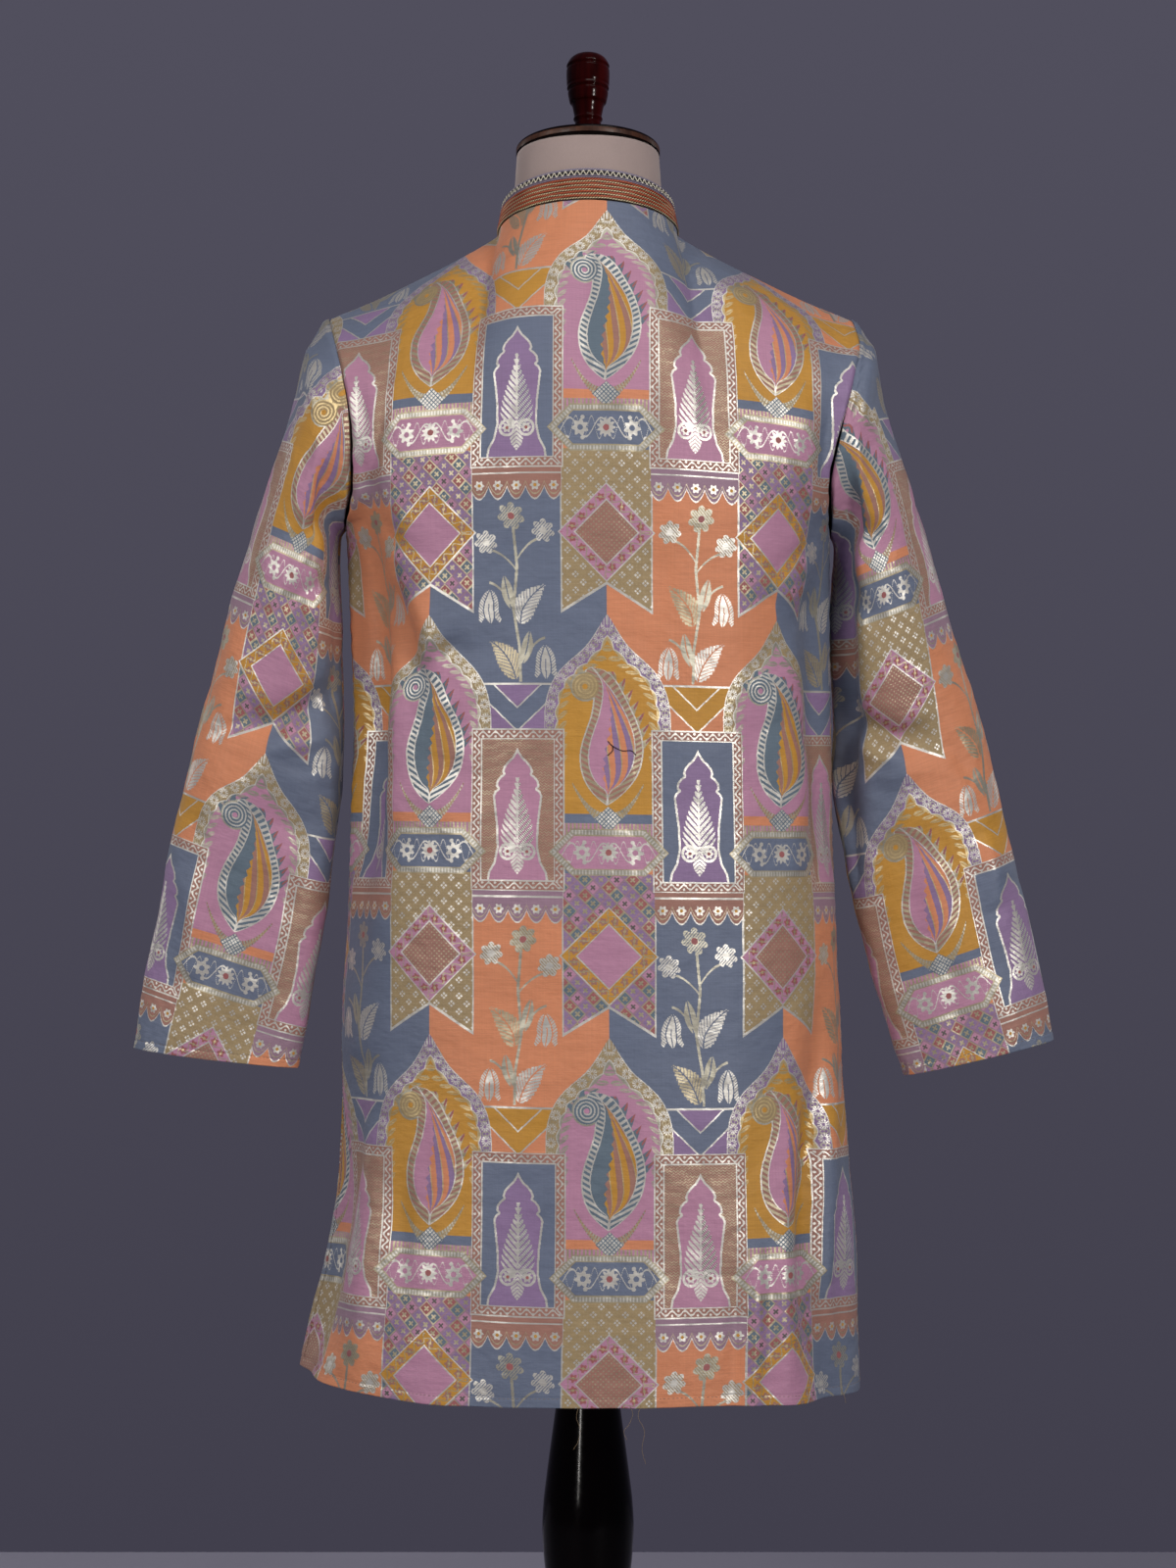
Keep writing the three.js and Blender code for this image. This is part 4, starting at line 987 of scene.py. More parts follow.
    # rosettes along the border's middle line
    hs, mid = offset_profile(ARCH_SMOOTH, 4.5, 90)
    keep = mid > 0.01; hs, mid = hs[keep], mid[keep]
    hs = np.append(hs, hs[-1] + 0.4); mid = np.append(mid, 0.0)
    run = np.concatenate([[0], np.cumsum(np.hypot(np.diff(hs), np.diff(mid)))])
    slope = np.gradient(mid, hs); cs = 1 / np.sqrt(1 + slope ** 2); sn = -slope * cs
    off = g.curve(ya, hs, mid) - ax
    c_at, s_at, r_at = g.curve(ya, hs, cs), g.curve(ya, hs, np.maximum(sn, 0)), g.curve(ya, hs, run)
    bb = off * c_at; ss = r_at + off * s_at
    sa = (ss % 11.4) - 5.7
    # the room's edge is a run of small lobes
    room = arch & (bb > madd(abs(sine(ss * (math.pi / 15.2))), -2.3, 7.0))
    ring = arch & room.no()
    rr = g.hypot(sa, bb)
    spoke = cosine(g.op("ARCTAN2", bb, sa) * 11.0) > -0.45
    bloom = g.mix(out, ZARI, (rr < 4.0) & (rr > 1.2) & spoke)
    bloom = g.mix(bloom, g.mix(ZGREY, ZDULL, p), near(g.hypot(abs(sa) - 5.7, abs(bb) - 1.3), 1.6, 0.45))
    out = g.mix(out, bloom, ring)
    out = g.mix(out, ZARI, ring & ((bb < -3.7) | (bb > madd(abs(sine(ss * (math.pi / 15.2))), -2.3, 6.0))))
    # the room, with a jagged vine inside its edge
    out = g.mix(out, g.mix(MUSTARD, PINK, p), room)
    lb = bb - 6.0
    lq = ((ss - lb * 0.9) % 9.4) - 4.7
    leaf_w = lb * (8.6 - lb) * 0.155
    vine = room & (ya > 70.0) & (((abs(lq) < leaf_w) & (abs(lq) > 0.4)) | (lb < 0.9))
    out = g.mix(out, g.mix(ZGOLD, ZGREY, p), vine)
    # strip at the foot
    foot = room & (ya < 31.0)
    strip = g.mix(SLATE, ORANGE, p)
    strip = g.mix(strip, g.mix(ZDULL, PINK, (x % 3.2) < 1.5), ya < 23.5)
    out = g.mix(out, strip, foot)
    # horns at the foot of the paisley
    hb = madd(ax * ax, 0.034, 27.0)
    horn = near(ya, hb, madd(ax, -0.16, 5.6)) & (ax < 29.0) & room
    horn_in = g.mix(ZGREY, g.mix(OLIVE, RUST, p), (madd(ya, 0.5, ax) % 2.9) < 1.15)
    out = g.mix(out, horn_in, horn)
    out = g.mix(out, SAND, near(ya, hb, 0.8) & (ax < 25.0) & room)
    fleur = (madd(ax, 0.9, abs(ya - 27.0)) < 10.5) & room
    out = g.mix(out, g.mix(ZARI, TEAL, (abs(((xa + ya) % 3.6) - 1.8) < 0.55) | (abs(((xa - ya) % 3.6) - 1.8) < 0.55)), fleur)
    # paisley
    P0, PH = 38.0, 112.0
    t = (ya - P0) / PH
    mid_p = g.curve(t, PAISLEY[:, 0], PAISLEY[:, 1])
    px = xa + 1.0 - mid_p; apx = abs(px)
    w_out, w_in = g.curve(t, PAISLEY[:, 0], PAISLEY[:, 2]), g.curve(t, PAISLEY[:, 0], PAISLEY[:, 3])
    tin = (t > 0.0) & (t < 1.0)
    # fringe of leaves on the outer side and round the head
    e = px - w_out
    lean = abs((madd(e, -0.9, ya) % 9.2) - 4.6)
    fringe = (lean < madd(e, -0.36, 3.4)) & (e > 0.0) & (t > 0.42) & (t < 0.97) & room
    hx, hy = xa + 18.5, ya - (P0 + PH * 0.86)
    hr = g.hypot(hx, hy); ha = g.op("ARCTAN2", hy, hx)
    crest = (abs(((ha + hr * 0.035) % 0.52) - 0.26) * hr < madd(hr, -0.33, 6.9)) & (hr > 11.0) & (hr < 20.0) & (hy > -2.0) & room
    leafy = g.mix(g.mix(ZDULL, TEAL, p), ROSE, (lean < 0.9) & (e > 2.0))
    out = g.mix(out, leafy, fringe)
    out = g.mix(out, g.mix(ZDULL, TEAL, p), crest)
    body_p = (apx < w_out) & tin
    rope = (madd(apx, -0.55, ya) % 4.6) < 2.3
    rope_c = g.mix(g.mix(ZDULL, TEAL, p), g.mix(RUST, ZARI, p), rope)
    out = g.mix(out, rope_c, body_p)
    out = g.mix(out, ZARI, body_p & (near(apx, w_out, 1.2) | near(apx, w_in, 0.9)))
    core = (apx < w_in) & tin
    sh = px / upper(w_in, 0.5)
    flame = (madd(t, 2.1, sh * 1.7) % 1.0)
    fl_c = g.mix(g.mix(ORANGE, MUSTARD, p), g.mix(PURPLE, RUST, p), flame < 0.5)
    fl_c = g.mix(fl_c, ZGOLD, abs(flame - 0.5) < 0.045)
    scallop = abs(((ya % 8.0) - 4.0)) * 0.045
    fl_c = g.mix(fl_c, g.mix(PINK, TEAL, p), sh < (madd(t, 0.5, -0.55) + scallop))
    out = g.mix(out, fl_c, core)
    # the head: a coil
    coil = (hr * 0.34 - ha / TAU) % 1.0
    out = g.mix(out, g.mix(g.mix(OLIVE, TEAL, p), g.mix(ZGOLD, ZARI, p), coil < 0.42), (hr < 11.4) & inarch)
    out = g.mix(out, g.mix(MUSTARD, PINK, p), hr < 2.2)
    out = g.mix(out, ZGREY, near(hr, 11.4, 0.7) & (body_p.no() | (hx < 0.0)))

    # ---- chevrons over the frames
    chev = (yf > 132.0) & (yf < 168.0)
    cv = madd(af, 0.95, (yf - 132.0) * -1.0)
    inch = chev & (af < 46.0) & (arch.no() | (af < 20.0))
    band = g.mix(g.mix(ORANGE, MUSTARD, cv < 2.0), g.mix(PURPLE, SLATE, cv < 2.0), q)
    band = g.mix(band, g.mix(MUSTARD, PURPLE, q), cv < -17.0)
    band = g.mix(band, ZARI, near(cv, 2.0, 0.8) | near(cv, -17.0, 0.8) | near(cv, 24.0, 0.8))
    band = g.mix(band, g.mix(PINK, OLIVE, q), cv > 24.0)
    out = g.mix(out, band, inch)
    out = g.mix(out, ZARI, near(yf, 168.0, 0.8) & (af < 46.0) & arch.no())

    # ---- frames, each with a cusped niche and a small tree
    fy = yf - 66.0
    D = upper(af - 38.5, abs(fy) - 66.0)
    inframe = D < 0.0
    fr = g.mix(RUST, SAND, q * 0.0)
    along_s = g.mix(yf, xf, (abs(fy) - 66.0) > (af - 38.5))
    fb2 = D + 4.6
    wave = near(fb2, sine(along_s * (TAU / 10.5)) * 1.9, 0.75)
    dots = g.hypot((along_s % 5.25) - 2.6, abs(fb2) - 1.9) < 1.05
    fr = g.mix(fr, ZARI, wave | dots)
    fr = g.mix(fr, ZARI, (D > -1.1) | (near(D, -8.4, 0.6)))
    inner = D < -8.9
    hatch = g.mix(SLATE, g.mix(RUST, ZDULL, ((madd(abs((xf % 3.4) - 1.7), 1.0, yf) % 2.2) < 0.6)), q)
    fr = g.mix(fr, hatch, inner)
    ny = yf - 9.5
    n0, n1 = g.curve(ny, *offset_profile(NICHE, 0.0, 110)), g.curve(ny, *offset_profile(NICHE, 1.7, 110))
    fr = g.mix(fr, ZARI, (af < n0) & inner)
    fr = g.mix(fr, g.mix(PURPLE, PINK, q), (af < n1) & inner)
    # the tree: a leafy envelope on a stem, with a bud below it
    env = g.curve(ny, [22, 26, 32, 38, 46, 54, 62, 69, 75, 80, 86], [8, 12.4, 14, 14, 12.4, 10, 7, 4.6, 2.6, 2.8, 0])
    lp = madd(af, -1.15, ny) % 5.6
    leafs = lp < madd(af, -0.11, 4.3)
    env = env - abs(lp - 2.2) * 0.75
    tree = (af < env) & (ny > 22.0) & (ny < 86.0)
    ground_t = g.mix(PURPLE, PINK, q)
    tree_c = g.mix(ground_t, ZARI, leafs | (af < 0.8))
    tree_c = g.mix(tree_c, g.mix(INK, SLATE, q.no()), (xf > 1.0) & leafs & (((xf + yf) % 2.1) < 0.75))
    fr = g.mix(fr, tree_c, tree)
    # two curled blooms and a drop under the leaves
    rl = g.hypot(af - 8.0, ny - 22.5)
    fr = g.mix(fr, ZARI, (near(rl, 6.0, 1.1)) & inner)
    fr, _ = flower(af - 8.0, ny - 22.5, 4.2, 6, fr, heart=ROSE)
    drop = (af < g.curve(ny, [4, 9, 14, 20, 26, 34], [0, 4.2, 5.6, 2.4, 1.6, 0])) & (ny > 4.0) & (ny < 34.0)
    fr = g.mix(fr, g.mix(ZARI, ground_t, (madd(af, 0.9, ny) % 3.2) < 0.8), drop)
    out = g.mix(out, fr, inframe)

    # ---- cartouches over the foot of each arch
    cy = ys - 150.0
    C = upper(abs(cy) - 19.0, (ax + abs(cy)) * 0.7071 - 34.5)
    car = g.mix(SLATE, PINK, p.no())
    slant = (ax + abs(cy)) * 0.7071 - 34.5 > abs(cy) - 19.0
    tick = (g.mix(xa, (ax - abs(cy)) * 0.7071, slant) % 2.7) < 1.25
    car = g.mix(car, g.mix(ZGREY, ZARI, tick), C > -4.6)
    car = g.mix(car, ZDULL, near(C, -5.2, 0.55) | near(C, -0.5, 0.5))
    cin = C < -5.9
    scroll = near(cy, sine(ax * (TAU / 26.0) + 0.6) * 7.5, 0.75) | near(cy, sine(ax * (TAU / 13.0) + 2.0) * 9.0, 0.5)
    car = g.mix(car, ZARI, scroll & cin)
    buds = g.hypot((ax % 13.0) - 6.5, abs(cy) - 8.2) < 1.7
    car = g.mix(car, ZARI, buds & cin & (ax > 9.0))
    big, _ = flower(ax - 21.5, cy, 7.2, 7, car, heart=g.mix(SLATE, PINK, p.no()), ground=ZARI, turn=0.6)
    car = g.mix(car, big, cin)
    mid_c, _ = flower(xa, cy, 8.0, 11, car, heart=ROSE)
    car = g.mix(car, mid_c, cin)
    out = g.mix(out, car, C < 0.0)
    return out
# ==== END OF BROCADE


# =============================================================================================
# Materials
# =============================================================================================
def srgb(r, g_, b):
    f = lambda c: c / 12.92 if c <= 0.04045 else ((c + 0.055) / 1.055) ** 2.4
    return (f(r / 255), f(g_ / 255), f(b / 255), 1.0)


def new_material(name):
    m = bpy.data.materials.new(name); m.use_nodes = True
    t = m.node_tree; t.nodes.clear()
    return m, t


def finish_material(t, bsdf):
    o = t.nodes.new("ShaderNodeOutputMaterial")
    t.links.new(bsdf.outputs[0], o.inputs[0])


def uv_mm(g):
    n = g.node("ShaderNodeUVMap"); n.uv_map = "flat"
    s = g.node("ShaderNodeSeparateXYZ"); g.tree.links.new(n.outputs[0], s.inputs[0])
    return Val(g, s.outputs[0]) * 1000.0, Val(g, s.outputs[1]) * 1000.0


def combine(g, a, b, c=0.0):
    n = g.node("ShaderNodeCombineXYZ")
    for i, v in enumerate((a, b, c)):
        g.feed(n.inputs[i], v)
    return n.outputs[0]


def noise(g, vec, scale=1.0, detail=2.0, rough=0.5):
    n = g.node("ShaderNodeTexNoise"); n.inputs["Scale"].default_value = scale
    n.inputs["Detail"].default_value = detail; n.inputs["Roughness"].default_value = rough
    g.tree.links.new(vec, n.inputs["Vector"])
    return Val(g, n.outputs[0])


def tinted(g, color, value):
    """color (a socket) times a grey value"""
    c = g.node("ShaderNodeCombineColor")
    for i in range(3):
        g.feed(c.inputs[i], value)
    m = g.node("ShaderNodeMix"); m.data_type = "RGBA"; m.blend_type = "MULTIPLY"; m.inputs[0].default_value = 1.0
    g.tree.links.new(color, m.inputs[6]); g.tree.links.new(c.outputs[0], m.inputs[7])
    return m.outputs[2]


def bump(g, height, strength, distance):
    n = g.node("ShaderNodeBump"); n.inputs["Strength"].default_value = strength; n.inputs["Distance"].default_value = distance
    g.feed(n.inputs["Height"], height)
    return n.outputs[0]


SILKS = {
    MUSTARD: (190, 139, 56), ORANGE: (209, 136, 98), PINK: (182, 132, 158), SLATE: (103, 113, 134), PURPLE: (140, 115, 152),
    OLIVE: (158, 138, 102), RUST: (158, 115, 102), MAUVE: (150, 121, 138), TEAL: (97, 113, 126), INK: (92, 88, 84), ROSE: (156, 94, 94),
    SAND: (166, 147, 114), ZARI: (207, 204, 196), ZDULL: (176, 165, 138), ZGOLD: (196, 175, 130), ZGREY: (172, 168, 152)}


def brocade_material():
    m, t = new_material("brocade"); g = Graph(t)
    u, v = uv_mm(g)
    pick = 0.42
    x = (floor(u / pick) + 0.5) * pick; y = (floor(v / pick) + 0.5) * pick
    shuttle = brocade(g, x, y)
    ramp = g.node("ShaderNodeValToRGB"); r = ramp.color_ramp; r.interpolation = "CONSTANT"
    r.elements[0].position = 0.0; r.elements[0].color = srgb(*SILKS[0])
    r.elements[1].position = 1 / 16; r.elements[1].color = srgb(*SILKS[1])
    for i in range(2, 16):
        e = r.elements.new(i / 16); e.color = srgb(*SILKS[i])
    g.feed(ramp.inputs[0], (shuttle + 0.5) / 16.0)
    metal = shuttle > 11.5
    # slubs run with the weft, and each thread takes the dye a little differently
    slub = noise(g, combine(g, u * 0.035, v * 1.1), 1.0, 3.0, 0.6)
    warp = noise(g, combine(g, u * 0.9, v * 0.02, 3.7), 1.0, 2.0, 0.5)
    patch = noise(g, combine(g, u * 0.012, v * 0.012, 9.1), 1.0, 2.0, 0.5)
    shade = madd(slub, 0.4, 0.8) + madd(warp, 0.14, -0.07) + madd(patch, 0.12, -0.06)
    color = tinted(g, ramp.outputs[0], shade)
    # woven relief: threads across and up, and the slight cockle of mixed threads
    a, b = abs(sine(u * (math.pi / 0.62))), abs(sine(v * (math.pi / 0.5)))
    cockle = noise(g, combine(g, u * 0.16, v * 0.3, 5.0), 1.0, 3.0, 0.6)
    ripple = noise(g, combine(g, u * 0.034, v * 0.05, 2.0), 1.0, 2.0, 0.5)
    swell = bump(g, cockle * 0.42 + slub * 0.04 + ripple * 2.4, 1.0, 0.001)
    fine = g.node("ShaderNodeBump"); fine.inputs["Distance"].default_value = 0.00007
    g.feed(fine.inputs["Strength"], g.mix(1.0, 0.25, metal)); g.feed(fine.inputs["Height"], madd(a, 0.35, b * 0.65))
    t.links.new(swell, fine.inputs["Normal"])
    bs = g.node("ShaderNodeBsdfPrincipled")
    bs.inputs["IOR"].default_value = 1.45
    bs.inputs["Specular IOR Level"].default_value = 0.4
    bs.inputs["Sheen Weight"].default_value = 0.06
    bs.inputs["Sheen Roughness"].default_value = 0.5
    t.links.new(color, bs.inputs["Base Color"])
    g.feed(bs.inputs["Metallic"], metal * 0.55)
    g.feed(bs.inputs["Roughness"], g.mix(madd(slub, 0.2, 0.4), madd(slub, 0.22, 0.27), metal))
    t.links.new(fine.outputs[0], bs.inputs["Normal"])
    finish_material(t, bs)
    return m, g.count


def reverse_material():
    """The back of the cloth, where the weft floats in loose bands of all the silks."""
    m, t = new_material("brocade_reverse"); g = Graph(t)
    u, v = uv_mm(g)
    n1 = noise(g, combine(g, u * 0.05, v * 0.03), 1.0, 2.0, 0.5)
    pickc = noise(g, combine(g, floor(u / 9.0) * 0.7, floor(v / 0.9) * 0.7), 1.0, 1.0, 0.5)
    ramp = g.node("ShaderNodeValToRGB"); r = ramp.color_ramp
    r.elements[0].position = 0.25; r.elements[0].color = srgb(112, 104, 116)
    r.elements[1].position = 0.75; r.elements[1].color = srgb(168, 140, 112)
    for pos, c in ((0.4, (140, 120, 138)), (0.5, (120, 114, 110)), (0.6, (160, 128, 122))):
        e = r.elements.new(pos); e.color = srgb(*c)
    g.feed(ramp.inputs[0], madd(pickc, 0.75, n1 * 0.25))
    bs = g.node("ShaderNodeBsdfPrincipled")
    t.links.new(tinted(g, ramp.outputs[0], madd(noise(g, combine(g, u * 0.04, v * 1.3), 1.0, 2.0), 0.5, 0.62)), bs.inputs["Base Color"])
    bs.inputs["Roughness"].default_value = 0.62
    bs.inputs["Sheen Weight"].default_value = 0.15
    t.links.new(bump(g, abs(sine(v * (math.pi / 0.6))) + abs(sine(u * (math.pi / 2.2))) * 0.4, 0.5, 0.0003), bs.inputs["Normal"])
    finish_material(t, bs)
    return m


def cord_material(name, light, dark, turns, metallic, rough, share):
    """A plied cord: UV x runs along it in mm, y round it."""
    m, t = new_material(name); g = Graph(t)
    n = g.node("ShaderNodeUVMap"); n.uv_map = "flat"
    s = g.node("ShaderNodeSeparateXYZ"); t.links.new(n.outputs[0], s.inputs[0])
    u, v = Val(g, s.outputs[0]), Val(g, s.outputs[1])
    ply = (u * turns - v * 2.0) % 1.0
    fibre = noise(g, combine(g, u * 2.2, v * 9.0), 1.0, 3.0, 0.6)
    ramp = g.node("ShaderNodeValToRGB"); r = ramp.color_ramp
    r.elements[0].position = share - 0.06; r.elements[0].color = srgb(*light)
    r.elements[1].position = share + 0.06; r.elements[1].color = srgb(*dark)
    e = r.elements.new(0.97); e.color = srgb(*dark)
    e = r.elements.new(1.0); e.color = srgb(*light)
    g.feed(ramp.inputs[0], ply)
    bs = g.node("ShaderNodeBsdfPrincipled")
    t.links.new(tinted(g, ramp.outputs[0], madd(fibre, 0.7, 0.62)), bs.inputs["Base Color"])
    bs.inputs["Metallic"].default_value = metallic
    g.feed(bs.inputs["Roughness"], madd(fibre, 0.3, rough))
    t.links.new(bump(g, fibre, 0.4, 0.0002), bs.inputs["Normal"])
    finish_material(t, bs)
    return m


def object_noise(g, scale, detail=3.0, rough=0.55, stretch=(1, 1, 1)):
    c = g.node("ShaderNodeTexCoord"); mp = g.node("ShaderNodeMapping")
    mp.inputs["Scale"].default_value = tuple(scale * k for k in stretch)
    g.tree.links.new(c.outputs["Object"], mp.inputs["Vector"])
    return noise(g, mp.outputs[0], 1.0, detail, rough)


def cloth_material(name, base, weave=0.9):
    """Plain cotton on the dress form."""
    m, t = new_material(name); g = Graph(t)
    c = g.node("ShaderNodeTexCoord"); s = g.node("ShaderNodeSeparateXYZ"); t.links.new(c.outputs["Object"], s.inputs[0])
    X, Y, Z = (Val(g, s.outputs[i]) * 1000.0 for i in range(3))
    ang = g.op("ARCTAN2", Y, X) * 62.0
    threads = abs(sine(ang * (math.pi / weave))) * 0.5 + abs(sine(Z * (math.pi / weave))) * 0.5
    blot = object_noise(g, 14, 3); fine = object_noise(g, 900, 2)
    ramp = g.node("ShaderNodeValToRGB"); r = ramp.color_ramp
    r.elements[0].position = 0.25; r.elements[0].color = srgb(*[k * 0.92 for k in base])
    r.elements[1].position = 0.8; r.elements[1].color = srgb(*base)
    g.feed(ramp.inputs[0], blot)
    bs = g.node("ShaderNodeBsdfPrincipled")
    t.links.new(tinted(g, ramp.outputs[0], madd(fine, 0.18, 0.84) + threads * 0.07), bs.inputs["Base Color"])
    g.feed(bs.inputs["Roughness"], madd(fine, 0.15, 0.72))
    bs.inputs["Sheen Weight"].default_value = 0.2
    t.links.new(bump(g, threads + fine * 0.5, 0.4, 0.0002), bs.inputs["Normal"])
    finish_material(t, bs)
    return m


def wood_material(name, dark, light, rough, coat, scale=26.0, rings=(1, 1, 0.12), gloss=0.25):
    """Stained and varnished wood: the grain runs up."""
    m, t = new_material(name); g = Graph(t)
    grain = object_noise(g, scale, 4, 0.65, rings)
    fine = object_noise(g, scale * 9, 2, 0.5, (1, 1, 0.06))
    spots = object_noise(g, 300, 2)
    ramp = g.node("ShaderNodeValToRGB"); r = ramp.color_ramp
    r.elements[0].position = 0.32; r.elements[0].color = srgb(*dark)
    r.elements[1].position = 0.72; r.elements[1].color = srgb(*light)
    g.feed(ramp.inputs[0], madd(fine, 0.3, grain * 0.75))
    bs = g.node("ShaderNodeBsdfPrincipled")
    t.links.new(ramp.outputs[0], bs.inputs["Base Color"])
    g.feed(bs.inputs["Roughness"], madd(spots, 0.12, rough))
    bs.inputs["Specular IOR Level"].default_value = gloss
    bs.inputs["Coat Weight"].default_value = coat
    bs.inputs["Coat Roughness"].default_value = 0.06
    t.links.new(bump(g, madd(fine, 0.4, spots * 0.3), 0.12, 0.0004), bs.inputs["Normal"])
    finish_material(t, bs)
    return m


def metal_material(name, base):
    m, t = new_material(name); g = Graph(t)
    worn = object_noise(g, 420, 3); fine = object_noise(g, 2400, 2)
    ramp = g.node("ShaderNodeValToRGB"); r = ramp.color_ramp
    r.elements[0].position = 0.35; r.elements[0].color = srgb(*[k * 0.7 for k in base])
    r.elements[1].position = 0.65; r.elements[1].color = srgb(*base)
    g.feed(ramp.inputs[0], worn)
    bs = g.node("ShaderNodeBsdfPrincipled")
    t.links.new(ramp.outputs[0], bs.inputs["Base Color"])
    bs.inputs["Metallic"].default_value = 0.95
    g.feed(bs.inputs["Roughness"], madd(worn, 0.25, 0.2))
    t.links.new(bump(g, fine, 0.15, 0.0002), bs.inputs["Normal"])
    finish_material(t, bs)
    return m


def thread_material(name, base):
    m, t = new_material(name); g = Graph(t)
    f = object_noise(g, 1800, 2)
    bs = g.node("ShaderNodeBsdfPrincipled")
    c = g.node("ShaderNodeValToRGB"); c.color_ramp.elements[0].color = srgb(*[k * 0.8 for k in base]); c.color_ramp.elements[1].color = srgb(*base)
    g.feed(c.inputs[0], f)
    t.links.new(c.outputs[0], bs.inputs["Base Color"])
    g.feed(bs.inputs["Roughness"], madd(f, 0.2, 0.5))
    finish_material(t, bs)
    return m


BROCADE, node_count = brocade_material()
REVERSE = reverse_material()
ORANGE_CORD = cord_material("cord_orange", (174, 79, 44), (78, 32, 18), 0.42, 0.1, 0.35, 0.68)
GOLD_CORD = cord_material("cord_gold", (218, 202, 162), (36, 28, 24), 0.42, 0.35, 0.3, 0.56)
CREAM_CORD = cord_material("cord_cream", (240, 234, 214), (150, 142, 120), 0.5, 0.35, 0.3, 0.62)
BLACK_CORD = cord_material("cord_black", (44, 40, 44), (24, 22, 26), 0.5, 0.0, 0.45, 0.5)
LILAC_CORD = cord_material("cord_lilac", (150, 142, 160), (110, 104, 122), 0.5, 0.2, 0.4, 0.6)
BAND_CLOTH = thread_material("band_cloth", (84, 44, 28))
BRAID_BACK = thread_material("braid_ground", (40, 37, 40))
THREAD = thread_material("sewing_thread", (128, 112, 104))
LOOSE = thread_material("loose_thread", (150, 126, 92))
SNAG = thread_material("snag_thread", (58, 34, 44))
FORM_COVER = cloth_material("form_cover", (166, 148, 143))
MAHOGANY = wood_material("mahogany", (9, 1, 1), (66, 8, 6), 0.09, 0.0, gloss=0.12)
BLACKWOOD = wood_material("dark_wood", (3, 2, 2), (10, 3, 3), 0.08, 0.0, gloss=0.1)
CAP_WOOD = wood_material("cap_wood", (26, 11, 8), (88, 54, 37), 0.34, 0.05, 40.0, (1, 1, 1))
BUTTON_METAL = metal_material("button_metal", (196, 172, 122))

# =============================================================================================
# The garment
# =============================================================================================
def at_index(lengths, places_mm):
    """Places in mm along a run of grid steps, as fractional grid numbers."""
    s = np.concatenate([[0], np.cumsum(lengths)])
    return np.interp(places_mm, s, np.arange(len(s)))


def grid_area(Q):
    a, b, c, d = Q[:-1, :-1], Q[:-1, 1:], Q[1:, 1:], Q[1:, :-1]
    cr = lambda p, q: p[..., 0] * q[..., 1] - p[..., 1] * q[..., 0]
    return float(np.abs(0.5 * (cr(b - a, c - a) + cr(c - a, d - a))).sum())


sheets = {}


def stitches(name, lines, pitch, length, r, lift):
    """Sewing stitches along lines of (points, normals) in mm: small lozenges that dip at both ends."""
    V, F, off = [], [], 0
    prof = [(-0.5, 0.15, -0.2), (-0.32, 0.8, 0.5), (0.0, 1.0, 1.0), (0.32, 0.8, 0.5), (0.5, 0.15, -0.2)]
    for P, N in lines:
        s = np.concatenate([[0], np.cumsum(np.linalg.norm(np.diff(P, axis=0), axis=1))])
        mids = np.arange(pitch * 0.6, s[-1] - pitch * 0.4, pitch)
        for q in mids:
            at = lambda d: np.array([np.interp(q + d, s, P[:, k]) for k in range(3)])
            n = np.array([np.interp(q, s, N[:, k]) for k in range(3)]); n /= np.linalg.norm(n)
            T = at(0.4) - at(-0.4); T /= np.linalg.norm(T); B = np.cross(n, T)
            for sh, w, up in prof:
                c = at(sh * length) + n * (lift * up)
                for a in range(4):
                    ang = (a + 0.5) * np.pi / 2
                    V.append(c + (B * math.cos(ang) + n * math.sin(ang)) * r * w)
            for k in range(4):
                for a in range(4):
                    b = (a + 1) % 4
                    F.append([off + k * 4 + a, off + k * 4 + b, off + k * 4 + 4 + b, off + k * 4 + 4 + a])
            F.append([off + 3, off + 2, off + 1, off]); F.append([off + 16, off + 17, off + 18, off + 19])
            off += 20
    return mesh_object(name, np.array(V) * MM, np.array(F), None)


